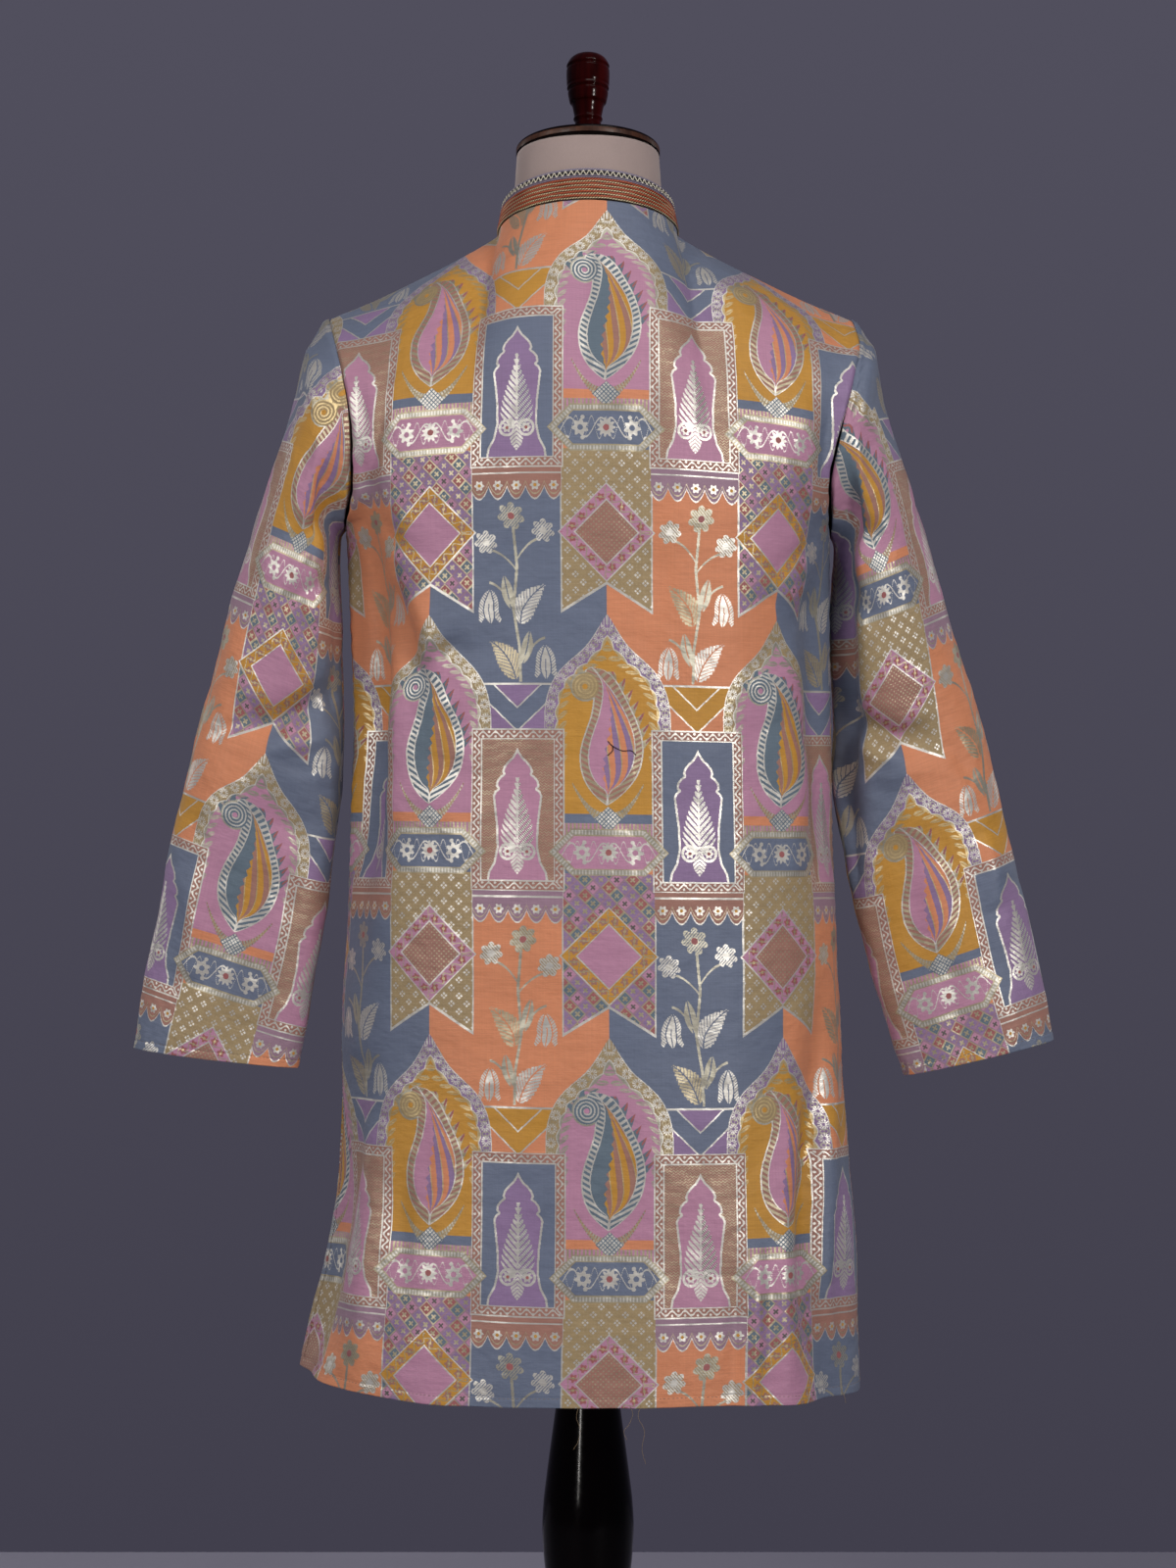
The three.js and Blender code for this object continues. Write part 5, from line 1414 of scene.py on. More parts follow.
def panel(side):
    back = side == "back"
    base = panel_base(side, 74, 62, 40)
    flat = flatten(base, 420)
    rl = np.linalg.norm(np.diff(base[:, 37], axis=0), axis=1); cl = np.linalg.norm(np.diff(base[45], axis=0), axis=1)
    step = 3.8 if back else 4.6
    rp = places(rl.sum(), step, [(0, 2.4, 0.8), (4.8, 10.4, 0.8), (rl.sum() - 6, rl.sum(), 1.2)])
    cp = places(cl.sum(), step, [(0, 2.4, 0.8), (4.8, 8.8, 0.8), (cl.sum() - 8.8, cl.sum() - 4.8, 0.8), (cl.sum() - 2.4, cl.sum(), 0.8)])
    ri, ci = at_index(rl, rp), at_index(cl, cp)
    P = resample(base, ri, ci); Q = resample(flat, ri, ci)
    sg = 1.0 if back else -1.0
    N = normals(P) * sg
    X, Z = P[..., 0], P[..., 2]
    H = (back_creases(X, Z) if back else front_creases(X, Z)) * 1.4
    H += waves(X, Z, 5 if back else 6, 0.75, 120, 9) + waves(X, Z, 15 if back else 16, 0.28, 42, 10)
    H += waves(X, Z, 25, 0.14, 17, 8)
    H += waves(X, Z, 71 if back else 72, 0.75, 62, 9, (1.0, 0.2)) * smooth(1420, 1300, Z) + waves(X, Z, 73 if back else 74, 0.45, 58, 8) * smooth(1260, 1380, Z)
    # edges: the side and armhole seams roll in, the slits are turned and stitched
    edge = np.minimum(cp, cl.sum() - cp)[None, :] * np.ones_like(X)
    slit = smooth(905, 875, Z)
    top = (rl.sum() - rp)[:, None] * np.ones_like(X); low = rp[:, None] * np.ones_like(X)
    quiet = smooth(0, 22, edge) * smooth(0, 18, top) + slit * (1 - smooth(0, 22, edge)) * 0.7
    H = H * np.clip(quiet, 0.12, 1)
    H -= (1 - slit) * 2.2 * np.exp(-(edge / 2.4) ** 2)
    hcol = (1 - 2 * ci / 74)[None, :] * np.ones_like(X)
    H -= 1.8 * np.exp(-(top / 2.6) ** 2) * smooth(0.36, 0.42, np.abs(hcol))
    # puckers of the seams
    H += (1 - slit) * 0.35 * np.exp(-((edge - 5) / 4.0) ** 2) * np.sin(Z * 0.42 + 2 * np.sin(Z * 0.05))
    turn_up = np.maximum(smooth(8.2, 7.4, low), slit * smooth(8.2, 7.4, edge))
    groove = np.maximum(np.exp(-((low - 7.6) / 0.9) ** 2), slit * np.exp(-((edge - 7.6) / 0.9) ** 2))
    pucker = np.sin(X * 0.55 + 1.5 * np.sin(X * 0.08)) * np.exp(-((low - 7) / 5.0) ** 2) * 0.22
    pucker += slit * np.sin(Z * 0.55 + 1.5 * np.sin(Z * 0.08)) * np.exp(-((edge - 7) / 5.0) ** 2) * 0.22
    H += 0.35 * turn_up - 0.4 * groove + pucker
    P = P + N * H[..., None]
    flare = smooth(0.62, 1, hcol) * smooth(800, 560, Z)
    P[..., 0] += (9.0 if back else -5.0) * flare
    if back:
        P[..., 1] = np.maximum(P[..., 1], 0.1)
    else:
        P[..., 1] = np.minimum(P[..., 1], -0.1)
    N = normals(P) * sg
    thick = 0.9 + 0.8 * turn_up
    UV = np.stack([(Q[..., 0] * sg - 16 + 148 * (1 if back else 2)) * MM, (Q[..., 1] + 47) * MM], -1)
    o = shell("cloth_" + side, P, N, thick, UV, flip=not back)
    o.data.materials.append(BROCADE); o.data.materials.append(REVERSE)
    w, l = float(Q[..., 0].max() - Q[..., 0].min()), float(Q[..., 1].max() - Q[..., 1].min())
    sheets[o.name] = (w, l, grid_area(Q))
    # stitch lines: along the hem, and up both slits
    r8 = int(np.argmin(abs(rp - 7.6))); zmax = int(np.searchsorted(P[:, 0, 2], 880))
    cL, cR = int(np.argmin(abs(cp - 7.6))), int(np.argmin(abs(cp - (cl.sum() - 7.6))))
    lines = [(P[r8, cL:cR + 1], N[r8, cL:cR + 1])] + [(P[r8:zmax, c], N[r8:zmax, c]) for c in (cL, cR)]
    st = stitches("hem_stitches_" + side, lines, 3.6, 2.5, 0.26, 0.22)
    st.data.materials.append(THREAD)
    return o, st, P, N


def sleeve(left):
    name = "left" if left else "right"
    base = sleeve_base(left, 64, 56)
    closed = np.concatenate([base, base[:, :1]], 1)
    flat = flatten(closed, 420)
    rl = np.linalg.norm(np.diff(base, axis=0), axis=-1).mean(1)
    rp = places(rl.sum(), 3.6, [(0, 6, 1.0), (rl.sum() - 10.4, rl.sum() - 4.8, 0.8), (rl.sum() - 2.4, rl.sum(), 0.8)])
    C = 132
    ri = at_index(rl, rp); ci = np.arange(C + 1) / C * 64
    Q = resample(flat, ri, ci)
    # a looped grid: pad round both ends before resampling
    pad = np.concatenate([base[:, -4:], base, base[:, :5]], 1)
    P = resample(pad, ri, ci[:-1] + 4)
    sg = 1.0 if left else -1.0
    N = normals(P, True) * sg
    X, Z = P[..., 0], P[..., 2]
    t = np.arange(C) / C
    wb = smooth(0.0, 0.07, t) * smooth(0.5, 0.43, t); wf = smooth(0.5, 0.57, t) * smooth(1.0, 0.93, t)
    H = (sleeve_creases(X, Z, left, True) * wb[None, :] + sleeve_creases(X, Z, left, False) * wf[None, :]) * 1.5
    H += waves(X, Z + P[..., 1], 31 if left else 32, 0.8, 105, 9) + waves(X, Z + P[..., 1], 41 if left else 42, 0.3, 40, 9)
    H += waves(X, Z + P[..., 1], 44, 0.14, 17, 8)
    H += waves(X + 0.24 * Z * sg, Z, 81 if left else 82, 0.7, 52, 8, (1.0, 0.25))
    head = rp[:, None] * np.ones_like(X); cuff = (rl.sum() - rp)[:, None] * np.ones_like(X)
    H = H * np.clip(smooth(0, 24, head), 0.1, 1)
    H -= 2.2 * np.exp(-(head / 2.4) ** 2)
    phi = t * 2 * np.pi
    H += 0.4 * np.exp(-((head - 6) / 5.0) ** 2) * np.sin(phi * 26 + 2 * np.sin(phi * 5))[None, :]
    turn_up = smooth(8.2, 7.4, cuff)
    H += 0.35 * turn_up - 0.4 * np.exp(-((cuff - 7.6) / 0.9) ** 2)
    H += np.sin(phi * 30 + 1.5 * np.sin(phi * 4))[None, :] * np.exp(-((cuff - 7) / 5.0) ** 2) * 0.22
    # the underarm seam runs down the inside
    seam = np.minimum(t, 1 - t)[None, :] * np.linalg.norm(P - np.roll(P, 1, 1), axis=-1).sum(1)[:, None]
    H -= 1.3 * np.exp(-(seam / 2.6) ** 2)
    P = P + N * H[..., None]
    if not left:
        # the inner side lies in behind the body's side
        close = np.exp(-(seam / 24.0) ** 2) * smooth(1262, 1222, Z) * smooth(1000, 1052, Z)
        P[..., 0] += 3.4 * close; P[..., 1] -= 13.0 * close
    N = normals(P, True) * sg
    UV = np.stack([(-Q[..., 0] * sg + (60 if left else 96)) * MM, (-Q[..., 1] + (686 + 20 if left else 686 + 34)) * MM], -1)
    o = shell("cloth_sleeve_" + name, P, N, 0.9 + 0.8 * turn_up, UV, loop=True, flip=not left)
    o.data.materials.append(BROCADE); o.data.materials.append(REVERSE)
    w, l = float(Q[..., 0].max() - Q[..., 0].min()), float(Q[..., 1].max() - Q[..., 1].min())
    sheets[o.name] = (w, l, grid_area(Q))
    r8 = int(np.argmin(abs(rp - (rl.sum() - 7.6))))
    ring = np.concatenate([P[r8], P[r8, :1]]); rn = np.concatenate([N[r8], N[r8, :1]])
    st = stitches("cuff_stitches_" + name, [(ring, rn)], 3.6, 2.5, 0.26, 0.22)
    st.data.materials.append(THREAD)
    return o, st


back_o, back_st, PB, NB = panel("back")
front_o, front_st, PF, NF = panel("front")
sl_o, sl_st = sleeve(True)
sr_o, sr_st = sleeve(False)


# ---- the collar band, its cords and its braid
def collar_ring(share, turn, out):
    """turn is an array; the band runs from the gap at the centre front round the neck."""
    gap = COLLAR["gapHalf"] / 420; a = np.pi * 2 * mix(gap, 1 - gap, turn)
    bk, fr = np.maximum(0, -np.cos(a)), np.maximum(0, np.cos(a))
    z0 = NECK["sideZ"] + NECK["backRise"] * bk - NECK["frontDrop"] * fr ** 1.3
    foot = np.stack([NECK["half"] * np.sin(a), bk * NECK["back"] - fr * NECK["front"], z0], -1)
    topz = (NECK["sideZ"] + mix(COLLAR["sideRise"], COLLAR["height"], bk) + NECK["backRise"] * bk * 0.98
            - NECK["frontDrop"] * fr ** 1.3 + (COLLAR["frontRise"] - COLLAR["sideRise"]) * fr)
    top = np.stack([COLLAR["half"] * np.sin(a), bk * COLLAR["back"] - fr * COLLAR["front"], topz], -1)
    p = foot + (top - foot) * share
    n = np.stack([np.sin(a) / NECK["half"], -np.cos(a) / NECK["back"], np.zeros_like(a)], -1)
    n /= np.linalg.norm(n, axis=-1, keepdims=True)
    p = p + n * out
    p[:, 2] += 0.15 + 0.5 * fr
    return p


def collar():
    turn = np.linspace(0, 1, 241)
    rows = np.array([0, 0.03, 0.08, 0.2, 0.35, 0.5, 0.65, 0.8, 0.92, 0.97, 1.0])
    G0 = np.array([collar_ring(s, turn, 0.2 - 0.5 * (s < 0.02) - 0.5 * (s > 0.98)) for s in rows])
    N = normals(G0)
    U = np.linspace(0, 430, 241)
    UV = np.stack([np.tile(U, (len(rows), 1)), np.tile(rows[:, None] * 26, (1, 241))], -1) * MM
    band = shell("collar_band_cloth", G0, N, 1.9, UV)
    band.data.materials.append(BAND_CLOTH); band.data.materials.append(BAND_CLOTH)
    sheets[band.name] = (430.0, 26.0, 430.0 * 26.0)
    fine = np.linspace(0.0025, 0.9975, 560)
    orange, gold = [], []
    wob = np.random.default_rng(3)
    for k in range(10):
        h = (0.75 + 1.8 * k) / 26
        line = collar_ring(h, fine, 0.75)
        s = np.linspace(0, 1, 560)
        line[:, 2] += 0.16 * np.sin(s * 61 + wob.uniform(0, 6)) + 0.1 * np.sin(s * 143 + wob.uniform(0, 6))
        (gold if k % 2 == 0 else orange).append(tube(line, 0.7 if k % 2 == 0 else 1.0, 8, twist=0.22, lobes=2, lobe=0.15))
    og = join_tubes("collar_cords_orange", orange); og.data.materials.append(ORANGE_CORD)
    gd = join_tubes("collar_cords_gold", gold); gd.data.materials.append(GOLD_CORD)
    lil = join_tubes("collar_piping", [tube(collar_ring(h / 26, fine, out), r, 6) for h, out, r in ((18.8, 0.75, 0.6), (20.1, 1.45, 0.52), (24.7, 1.45, 0.5), (25.8, 0.7, 0.62))])
    lil.data.materials.append(LILAC_CORD)
    # the braid: a ribbon with two strands that cross in zigzags
    rows2 = np.array([19.4, 19.7, 21, 22.4, 23.8, 25.1, 25.4]) / 26
    G1 = np.array([collar_ring(s, turn, 1.15 - 0.4 * (i in (0, 6))) for i, s in enumerate(rows2)])
    UV1 = np.stack([np.tile(U, (7, 1)), np.tile(rows2[:, None] * 26, (1, 241))], -1) * MM
    ribbon = shell("collar_braid_ribbon", G1, normals(G1), 0.8, UV1)
    ribbon.data.materials.append(BRAID_BACK); ribbon.data.materials.append(BRAID_BACK)
    n = 1500; tt = np.linspace(0.0025, 0.9975, n); s = tt * 430

    def zig(phase, amp, pitch, out):
        tri = 2 * np.abs(((s / pitch + phase) % 1.0) * 2 - 1) - 1
        tri = np.clip(tri * 1.15, -1, 1)
        over = np.cos((s / pitch + phase) * 4 * np.pi) * 0.25
        pts = np.array([collar_ring((22.4 + amp * tri[i]) / 26, tt[i:i + 1], out + over[i])[0] for i in range(n)])
        return pts
    cream = join_tubes("collar_braid_cream", [tube(zig(0.0, 1.95, 4.8, 1.6), 0.5, 6, twist=0.3, lobes=2, lobe=0.12)])
    cream.data.materials.append(CREAM_CORD)
    black = join_tubes("collar_braid_black", [tube(zig(0.5, 1.95, 4.8, 1.5), 0.42, 6, twist=0.3, lobes=2, lobe=0.12)])
    black.data.materials.append(BLACK_CORD)
    return band, og, gd, lil, ribbon, cream, black


band_o, og_o, gd_o, lil_o, rib_o, cream_o, black_o = collar()


# ---- the placket and its buttons, on the unseen front
def front_at(x, down):
    top = top_edge("front", np.array([0.0]))[0, 2] - 2; z = top - down; h = np.array([x / 290.0])
    if z <= ARMPIT_Z:
        return lower_row("front", h, np.array([z]))[0]
    lo, hi = 0.0, 1.0
    for _ in range(26):
        m = (lo + hi) / 2
        if upper_grid_point(h, m)[2] < z:
            lo = m
        else:
            hi = m
    return upper_grid_point(h, (lo + hi) / 2)


def upper_grid_point(h, t):
    hh = np.array([1.0, float(h[0]), -1.0])
    return upper_grid("front", hh, np.array([t]))[0, 1]


def placket():
    R, C = 121, 15
    P = np.empty((R, C, 3))
    xs = np.linspace(PLACKET["width"] / 2, -PLACKET["width"] / 2, C)
    keys = np.linspace(0, 1, 31)
    K = np.array([[front_at(x, PLACKET["length"] * (1 - k) + 3) for x in xs] for k in keys])
    P = resample(K, np.linspace(0, 30, R), np.arange(C, dtype=float))
    v = np.linspace(0, PLACKET["length"], R)[:, None] * np.ones((R, C)); u = np.linspace(0, PLACKET["width"], C)[None, :] * np.ones((R, C))
    edge = np.minimum(np.minimum(u, PLACKET["width"] - u), np.minimum(v, PLACKET["length"] - v))
    out = PLACKET["wall"] + 0.7 - 0.9 * np.exp(-(edge / 1.6) ** 2) - 0.25 * np.exp(-((edge - 4.5) / 1.2) ** 2)
    out = out + 0.15 * np.sin(v * 0.09 + u * 0.2) + 0.1 * np.sin(v * 0.31)
    P[..., 1] -= out
    N = -normals(P)
    UV = np.stack([-(u - 19) - 16 + 148 * 2, v + 452 + 47], -1) * MM
    o = shell("placket_cloth", P, N, 1.2, UV, flip=True)
    o.data.materials.append(BROCADE); o.data.materials.append(REVERSE)
    sheets[o.name] = (PLACKET["width"], PLACKET["length"], PLACKET["width"] * PLACKET["length"])
    c1, c2 = 2, C - 3
    lines = [(P[3:-3, c], N[3:-3, c]) for c in (c1, c2)] + [(P[3, c1:c2 + 1], N[3, c1:c2 + 1])]
    st = stitches("placket_stitches", lines, 3.4, 2.4, 0.26, 0.22)
    st.data.materials.append(THREAD)
    return o, st


pk_o, pk_st = placket()


def lathe(name, prof, sides=64, place=None, mats=None, mat_at=None):
    """prof is (z, r) from one end on the axis to the other; place moves mm points."""
    prof = np.array(prof, float)
    ring = prof[prof[:, 1] > 1e-6]
    a = np.arange(sides) / sides * 2 * np.pi
    V = np.stack([ring[:, 1][:, None] * np.cos(a), ring[:, 1][:, None] * np.sin(a), ring[:, 0][:, None] * np.ones(sides)], -1).reshape(-1, 3)
    n = len(ring)
    i, j = np.meshgrid(np.arange(n - 1), np.arange(sides), indexing="ij"); j1 = (j + 1) % sides
    F = np.stack([i * sides + j, i * sides + j1, (i + 1) * sides + j1, (i + 1) * sides + j], -1).reshape(-1, 4)
    V = np.concatenate([V, [[0, 0, ring[0, 0]], [0, 0, ring[-1, 0]]]])
    k = np.arange(sides); k1 = (k + 1) % sides
    T = np.concatenate([np.stack([k1, k, np.full(sides, n * sides)], -1), np.stack([k + (n - 1) * sides, k1 + (n - 1) * sides, np.full(sides, n * sides + 1)], -1)])
    if place is not None:
        V = place(V)
    mi = None
    if mat_at is not None:
        mi = np.concatenate([np.repeat([mat_at((ring[q, 0] + ring[q + 1, 0]) / 2) for q in range(n - 1)], sides), np.full(sides, mat_at(ring[0, 0])), np.full(sides, mat_at(ring[-1, 0]))])
    o = mesh_object(name, V * MM, [F, T], None, None, mi)
    for m in (mats or []):
        o.data.materials.append(m)
    return o


def fine_profile(table, step, rounds=None):
    z = [r[0] for r in table]; r = [r[1] for r in table]
    zz = np.unique(np.concatenate([np.arange(z[0], z[-1], step), z]))
    return list(zip(zz, along(z, r, zz)))


buttons = []
for k in range(4):
    p, q = front_at(0, 28 + k * 88), front_at(0, 32 + k * 88)
    lean = math.atan2(q[1] - p[1], q[2] - p[2])
    n = np.array([0, math.cos(lean), -math.sin(lean)])
    if n[1] > 0:
        n = -n
    c = p + np.array([0, -(PLACKET["wall"] + 0.9), 0]) + n * 1.0
    xa_ = np.array([1.0, 0, 0]); ya_ = np.cross(n, xa_)
    prof = [(0, 4.6), (0.3, 5.4), (0.8, 6.0), (1.2, 6.2), (1.7, 6.2), (2.1, 6.0), (2.3, 5.6), (2.35, 5.1), (2.2, 4.8), (2.3, 4.4), (2.6, 4.0),
            (2.9, 3.3), (3.15, 2.4), (3.3, 1.3), (3.38, 0.4)]
    buttons.append(lathe("button_metal_%d" % (k + 1), prof, 48,
                         lambda V, c=c, n=n, xa_=xa_, ya_=ya_: c + V[:, :1] * xa_ + V[:, 1:2] * ya_ + V[:, 2:3] * n, [BUTTON_METAL]))

# ---- the dress form
FORM = np.array([
    # z, half, back, front, middle
    [792, 128, 82, 80, 0], [800, 150, 98, 96, 0], [880, 165, 108, 104, 0], [960, 160, 104, 104, 0], [1060, 146, 92, 100, 0],
    [1160, 156, 100, 110, 0], [1260, 172, 110, 116, 0], [1340, 178, 106, 104, 0], [1395, 178, 92, 84, 0], [1425, 166, 80, 70, 0],
    [1446, 138, 70, 60, 0], [1466, 104, 61, 55, 0], [1486, 80, 57, 53, 0], [1506, 67, 56.5, 53, 0], [1530, 63, 56, 55, -1],
    [1560, 62, 56, 57, -2], [1582, 60.6, 56, 58, -3]], float)


def torso():
    z = np.unique(np.concatenate([np.linspace(792, 800, 6), np.arange(800, 1400, 10.0), np.arange(1400, 1582, 3.0), [1582]]))
    a = np.arange(128) / 128 * 2 * np.pi; c, n = np.cos(a), np.sin(a); e = 0.88
    half, bk, fr, mid = (along(FORM[:, 0], FORM[:, k], z)[:, None] for k in (1, 2, 3, 4))
    x = half * np.sign(c) * np.abs(c) ** e
    y = mid + np.where(n >= 0, bk, fr) * np.sign(n) * np.abs(n) ** e
    zz = z[:, None] * np.ones_like(x)
    share = smooth(1530, 1582, zz)
    zz = zz + share * math.tan(math.radians(8.5)) * y
    P = np.stack([x, y, zz], -1)
    R, C = x.shape
    V = np.concatenate([P.reshape(-1, 3), P[0].mean(0)[None], P[-1].mean(0)[None]])
    i, j = np.meshgrid(np.arange(R - 1), np.arange(C), indexing="ij"); j1 = (j + 1) % C
    F = np.stack([i * C + j, i * C + j1, (i + 1) * C + j1, (i + 1) * C + j], -1).reshape(-1, 4)
    k = np.arange(C); k1 = (k + 1) % C
    T = np.concatenate([np.stack([k1, k, np.full(C, R * C)], -1), np.stack([k + (R - 1) * C, k1 + (R - 1) * C, np.full(C, R * C + 1)], -1)])
    o = mesh_object("form_cover_cloth", V * MM, [F, T])
    o.data.materials.append(FORM_COVER)
    return o


torso_o = torso()
TILT = math.radians(8.5)


def in_head(V, lift=0.0):
    y, z = V[:, 1], V[:, 2] + lift
    return np.stack([V[:, 0], -3 + y * math.cos(TILT) - z * math.sin(TILT), 1583.5 + y * math.sin(TILT) + z * math.cos(TILT)], -1)


# the cap is stained wood with dark wood on its rounded top edge; the narrow dark-wood band at its foot is a painted
# shadow line under the cap
cap_o = lathe("form_cap_wood", [(0, 0.972), (0.5, 0.99), (1.3, 1.0), (5.4, 1.0), (6.2, 0.998), (7.0, 0.99), (7.8, 0.975), (8.5, 0.945), (9.0, 0.9), (9.4, 0.75), (9.8, 0.5), (9.8, 0.2)],
              128, lambda V: in_head(np.stack([V[:, 0] * 61.2, V[:, 1] * 57.6, V[:, 2]], -1)), [CAP_WOOD, BLACKWOOD], lambda z: 1 if z > 5.4 or z < 1.0 else 0)
FINIAL = [(0, 13.5), (6, 11.2), (14, 10.8), (22, 11.6), (24, 12.4), (26, 11.8), (31, 12.6), (36, 13.8), (37.5, 15.2), (42, 16.4), (47, 17.2), (49, 16.7),
          (51, 17.7), (56, 18.2), (63, 18.5), (67, 18.4), (69, 17.7), (71, 18.1), (75, 16.6), (79, 12.8), (81.5, 6.5)]
fin_prof = fine_profile(FINIAL, 0.8)
# turned grooves and beads
fin_prof = [(z, r - 0.55 * sum(math.exp(-((z - c) / 0.7) ** 2) for c in (37.0, 49.0, 53.2, 69.2, 24.9, 20.5))
             + 0.25 * sum(math.exp(-((z - c) / 0.9) ** 2) for c in (51.0, 71.2, 23.2))) for z, r in fin_prof]
fin_prof[-1] = (fin_prof[-1][0], 6.5); fin_prof += [(82.2, 3.6), (82.45, 0.6)]
fin_o = lathe("form_finial_wood", fin_prof, 96, lambda V: in_head(V, 10.2), [MAHOGANY])
POST = [(42, 46), (52, 47), (60, 42), (74, 33), (110, 25), (160, 20), (190, 19), (196, 25), (206, 27), (216, 25), (222, 19.5), (250, 20), (290, 23.5), (330, 29),
        (360, 33.4), (383, 36.5), (400, 38.1), (421, 38.9), (440, 37.9), (460, 35.6), (480, 33), (500, 30.3), (525, 27), (560, 23.4), (610, 20), (655, 19),
        (662, 24), (672, 26), (682, 24), (690, 20), (740, 22), (780, 30), (791, 34)]
post_o = lathe("form_post_wood", fine_profile(POST, 3.0), 96, None, [BLACKWOOD])
FOOT = [(0, 188), (10, 193), (20, 191), (27, 180), (31, 150), (36, 95), (41.4, 62)]
foot_o = lathe("form_foot_wood", [(0, 186.5)] + fine_profile(FOOT, 1.5)[1:], 160, None, [BLACKWOOD])


# ---- loose threads at the hem, and a pulled thread on the back
def on_back(px, py):
    """The nearest point of the back's outer face to a point of the back view."""
    target = np.array([600 - px, 800 - py], float)
    k = 2880.0 / (2400.0 - PB[..., 1])
    q = np.stack([PB[..., 0] * k, (PB[..., 2] - 1050) * k], -1)
    i = np.unravel_index(np.argmin(((q - target) ** 2).sum(-1)), q.shape[:2])
    return PB[i], NB[i]


def curve_through(pts, n=40):
    pts = np.array(pts, float); t = np.arange(len(pts))
    return resample(pts[:, None, :].repeat(2, 1), np.linspace(0, len(pts) - 1, n), np.array([0.0, 1.0]))[:, 0]


threads = []
for px, py, path in ((588, 1436, [(0, 0, 0), (1.5, 1, -8), (-1.5, 3, -17), (0.5, 3, -27), (4, 2, -33)]),
                     (641, 1435, [(0, 0, 0), (-2, 1, -6), (1, 2, -14), (5, 3, -19), (3, 4, -26)]),
                     (655, 1434, [(0, 0, 0), (2, 1, -9), (-3, 2, -20), (-1, 3, -34), (-4, 3, -46)]),
                     (858, 1416, [(0, 0, 0), (-2, 1, -5), (-4, 2, -12)])):
    p, n = on_back(px, py)
    threads.append(tube(curve_through([p + n * 0.2 + np.array([a, b, c], float) for a, b, c in path]), 0.15, 5))
threads_o = join_tubes("loose_threads", threads); threads_o.data.materials.append(LOOSE)
snag = []
for line in ([(620, 756), (627, 761), (634, 764), (642, 766), (647, 769)], [(627, 761), (624, 766), (622, 770)]):
    pts = [on_back(a, b) for a, b in line]
    snag.append(tube(curve_through([p + n * 0.35 for p, n in pts], 26), 0.42, 5))
snag_o = join_tubes("pulled_thread", snag); snag_o.data.materials.append(SNAG)

# =============================================================================================
# The stage
# =============================================================================================
def stage_floor():
    m, t = new_material("studio_floor"); g = Graph(t)
    f = object_noise(g, 3, 3); fine = object_noise(g, 120, 2)
    ramp = g.node("ShaderNodeValToRGB"); r = ramp.color_ramp
    r.elements[0].color = srgb(114, 113, 128); r.elements[1].color = srgb(124, 123, 138)
    g.feed(ramp.inputs[0], f)
    bs = g.node("ShaderNodeBsdfPrincipled")
    t.links.new(ramp.outputs[0], bs.inputs["Base Color"])
    g.feed(bs.inputs["Roughness"], madd(fine, 0.1, 0.6))
    finish_material(t, bs)
    V = np.array([[-2.6, -1.46, -0.0005], [2.6, -1.46, -0.0005], [2.6, 2.2, -0.0005], [-2.6, 2.2, -0.0005]])
    o = mesh_object("studio_floor", V, np.array([[0, 1, 2, 3]]))
    o.data.materials.append(m)
    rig.stage(o)


stage_floor()
world = bpy.data.worlds.new("studio"); bpy.context.scene.world = world; world.use_nodes = True
wt = world.node_tree; wt.nodes.clear()
# a plain backdrop, a little lighter above than below
wc = wt.nodes.new("ShaderNodeTexCoord"); wx = wt.nodes.new("ShaderNodeSeparateXYZ"); wt.links.new(wc.outputs["Generated"], wx.inputs[0])
wm = wt.nodes.new("ShaderNodeMapRange"); wm.inputs["From Min"].default_value = -0.26; wm.inputs["From Max"].default_value = 0.26
wt.links.new(wx.outputs[2], wm.inputs["Value"])
wr = wt.nodes.new("ShaderNodeValToRGB"); wr.color_ramp.elements[0].color = srgb(65, 63, 76); wr.color_ramp.elements[1].color = srgb(81, 79, 93)
wt.links.new(wm.outputs[0], wr.inputs[0])
bg = wt.nodes.new("ShaderNodeBackground"); wt.links.new(wr.outputs[0], bg.inputs[0])
wo = wt.nodes.new("ShaderNodeOutputWorld"); wt.links.new(bg.outputs[0], wo.inputs[0])
bpy.context.scene.view_settings.view_transform = "Standard"


def area_light(name, at, aim, size, size_y, watts, color=(1, 1, 1)):
    L = bpy.data.lights.new(name, "AREA"); L.shape = "RECTANGLE"; L.size = size; L.size_y = size_y; L.energy = watts; L.color = color
    o = bpy.data.objects.new(name, L); bpy.context.scene.collection.objects.link(o)
    from mathutils import Vector
    d = Vector(aim) - Vector(at)
    o.location = at; o.rotation_euler = d.to_track_quat("-Z", "Y").to_euler()
    return o


WARM = (1.0, 0.965, 0.925)
soft = [
    area_light("key_right", (-1.5, 2.4, 1.8), (0, 0, 1.0), 0.6, 1.6, 35, WARM),
    area_light("key_left", (1.55, 2.35, 1.75), (0, 0, 1.0), 0.6, 1.6, 23, WARM),
    area_light("fill_left", (2.5, 1.45, 2.1), (0.3, 0, 1.15), 0.5, 1.2, 12, WARM),
    area_light("overhead", (-0.5, 1.3, 3.6), (0, 0, 1.15), 1.8, 0.9, 19, WARM),
    area_light("low", (-1.3, 2.45, 0.35), (0, 0, 0.8), 1.2, 0.6, 4, WARM)]
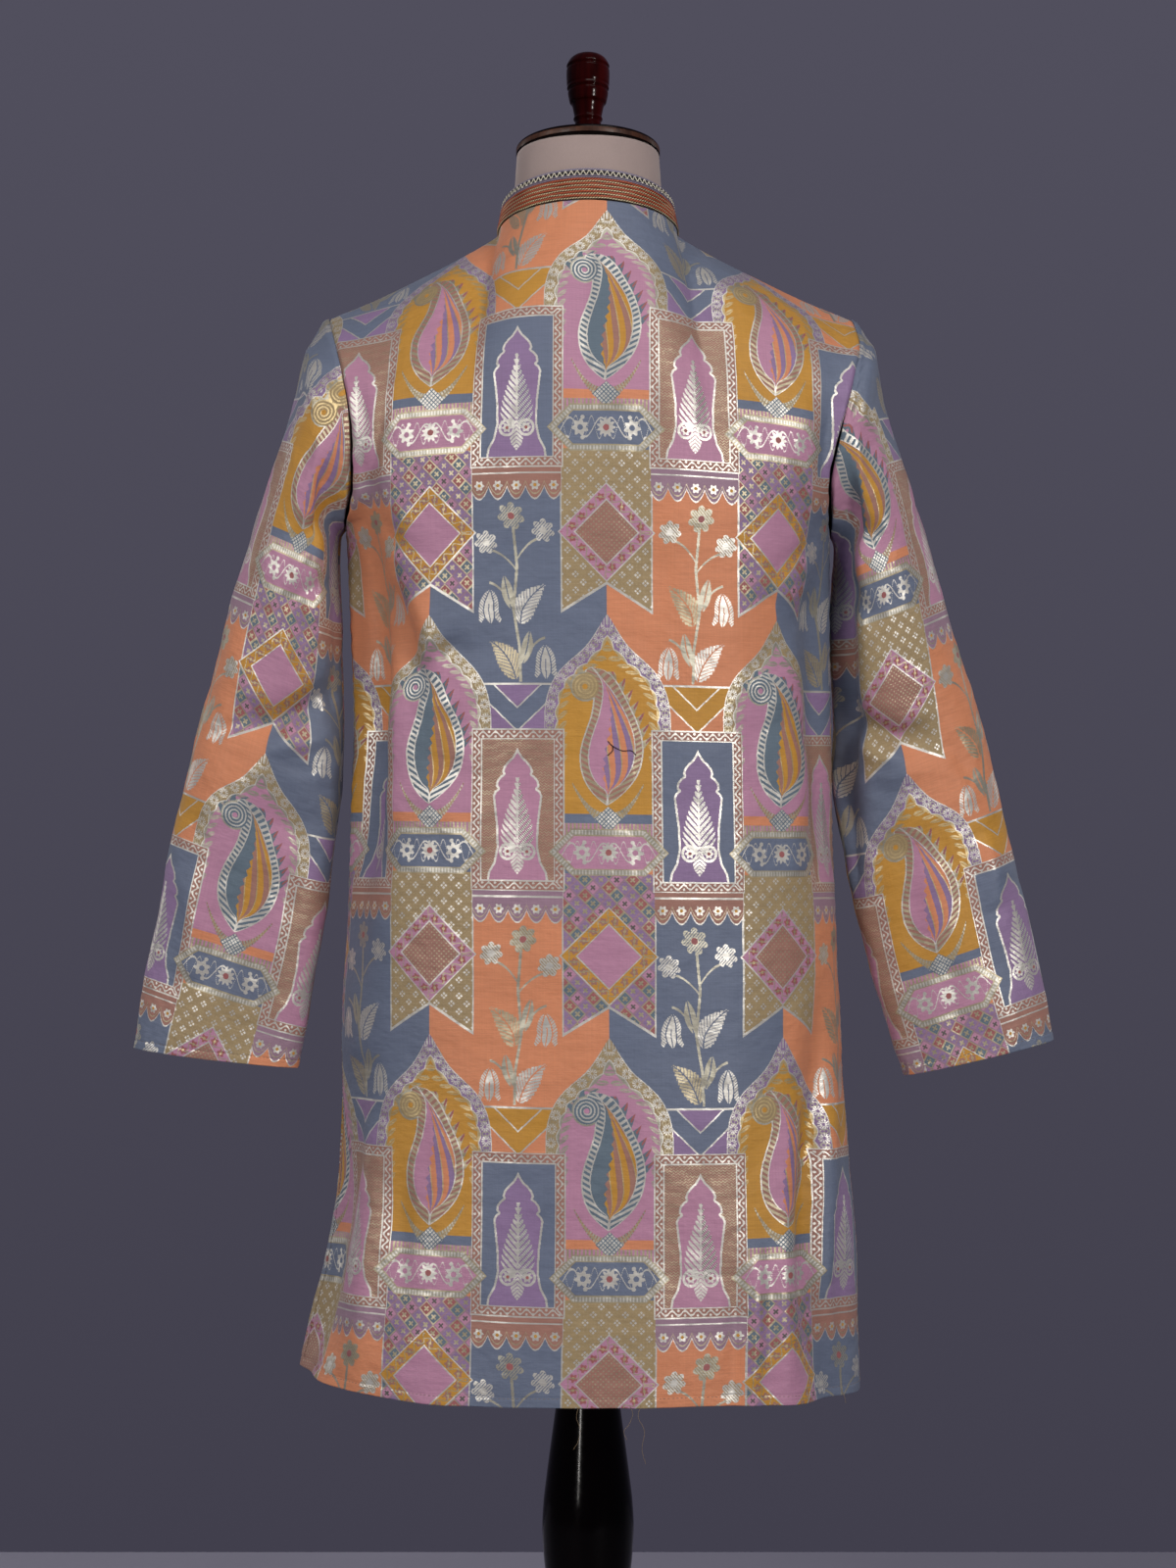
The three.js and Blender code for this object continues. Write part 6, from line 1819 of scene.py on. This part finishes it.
# the lacquered finial and post mirror one small lamp each, and no other piece takes that lamp
for lamp, piece in ((area_light("lamp_finial", (-1.85, 2.65, 1.8), (0, 0, 1.5), 0.16, 0.46, 44, WARM), fin_o),
                    (area_light("lamp_post", (1.25, 2.6, 0.75), (0, 0, 0.4), 0.05, 0.5, 16, WARM), post_o)):
    alone = bpy.data.collections.new(lamp.name + "_only"); alone.objects.link(piece)
    lamp.light_linking.receiver_collection = alone
aside = bpy.data.collections.new("mirrors_one_lamp"); aside.objects.link(fin_o); aside.objects.link(post_o)
for c in aside.collection_objects:
    c.light_linking.link_state = "EXCLUDE"
for o in soft:
    if o.name != "overhead":
        o.light_linking.receiver_collection = aside
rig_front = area_light("front_key", (1.2, -2.8, 2.1), (0, 0, 1.1), 1.8, 1.6, 46, WARM)
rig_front.visible_glossy = False
for o in (area_light("front_left", (2.5, -1.3, 1.4), (0, 0, 1.0), 0.6, 1.8, 6, WARM),
          area_light("front_right", (-2.5, -1.4, 1.4), (0, 0, 1.0), 0.6, 1.8, 5, WARM)):
    o.light_linking.receiver_collection = aside

cam = bpy.data.cameras.new("camera"); cam.sensor_fit = "VERTICAL"; cam.sensor_height = 36.0; cam.lens = 64.8
cam_o = bpy.data.objects.new("camera", cam); bpy.context.scene.collection.objects.link(cam_o)
cam_o.location = (0, 2.4, 1.05); cam_o.rotation_euler = (math.radians(90), 0, math.radians(180))
cam.clip_end = 50
bpy.context.scene.camera = cam_o

# =============================================================================================
# What rides on what, and what stands for which solid
# =============================================================================================
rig.replaces(back_o, "kurta_back"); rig.replaces(front_o, "kurta_front")
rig.replaces(sl_o, "sleeve_left"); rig.replaces(sr_o, "sleeve_right")
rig.replaces(band_o, "collar_band"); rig.replaces(rib_o, "collar_braid"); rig.replaces(pk_o, "placket")
for k in range(4):
    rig.replaces(buttons[k], "button_%d" % (k + 1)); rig.slot(buttons[k], "button_metal")
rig.replaces(torso_o, "form_torso"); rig.replaces(cap_o, "form_neck_cap"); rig.replaces(fin_o, "form_finial")
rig.replaces(post_o, "form_post"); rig.replaces(foot_o, "form_foot")
for o in (back_o, front_o, sl_o, sr_o, pk_o, back_st, front_st, sl_st, sr_st, pk_st, threads_o, snag_o):
    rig.slot(o, "brocade")
for o in (band_o, og_o, gd_o):
    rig.slot(o, "collar_cords")
for o in (lil_o, rib_o, cream_o, black_o):
    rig.slot(o, "collar_braid")
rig.slot(torso_o, "form_cloth")
for o in (cap_o, fin_o, post_o, foot_o):
    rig.slot(o, "turned_wood")
for o in [back_o, front_o, sl_o, sr_o, pk_o, back_st, front_st, sl_st, sr_st, pk_st, threads_o, snag_o, band_o, og_o, gd_o, lil_o, rib_o,
          cream_o, black_o, torso_o, cap_o, fin_o, post_o, foot_o] + buttons:
    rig.ride(o, "root")
held = {"cloth_back": "hung", "cloth_front": "hung", "cloth_sleeve_left": "hung", "cloth_sleeve_right": "hung",
        "collar_band_cloth": "stretched", "placket_cloth": "hung"}
rests = {"cloth_back": ["form_cover_cloth"], "cloth_front": ["form_cover_cloth"], "cloth_sleeve_left": ["cloth_back"],
         "cloth_sleeve_right": ["cloth_back"], "collar_band_cloth": ["cloth_back"], "placket_cloth": ["cloth_front"]}
for o in (back_o, front_o, sl_o, sr_o, band_o, pk_o):
    w, l, area = sheets[o.name]
    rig.sheet(o, flat=(w * MM, l * MM), held=held[o.name], rests_on=rests[o.name], area=area * 1e-6)
    print("SHEET %s: %.0f x %.0f mm, %.4f m2" % (o.name, w, l, area * 1e-6))
tris = sum(len(o.data.loops) - 2 * len(o.data.polygons) for o in bpy.data.objects if o.type == "MESH" and o.name in
           {p.name for p in bpy.data.objects if p.parent is not None and "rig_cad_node" not in p})
print("TRIANGLES added: %d; brocade nodes: %d" % (tris, node_count))

bpy.context.view_layer.update()
with open("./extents.json", "w") as f:
    json.dump({"cad": [[float(c) for c in p] for p in cad_box], "visual": [[float(c) for c in p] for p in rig.bounds()]}, f)
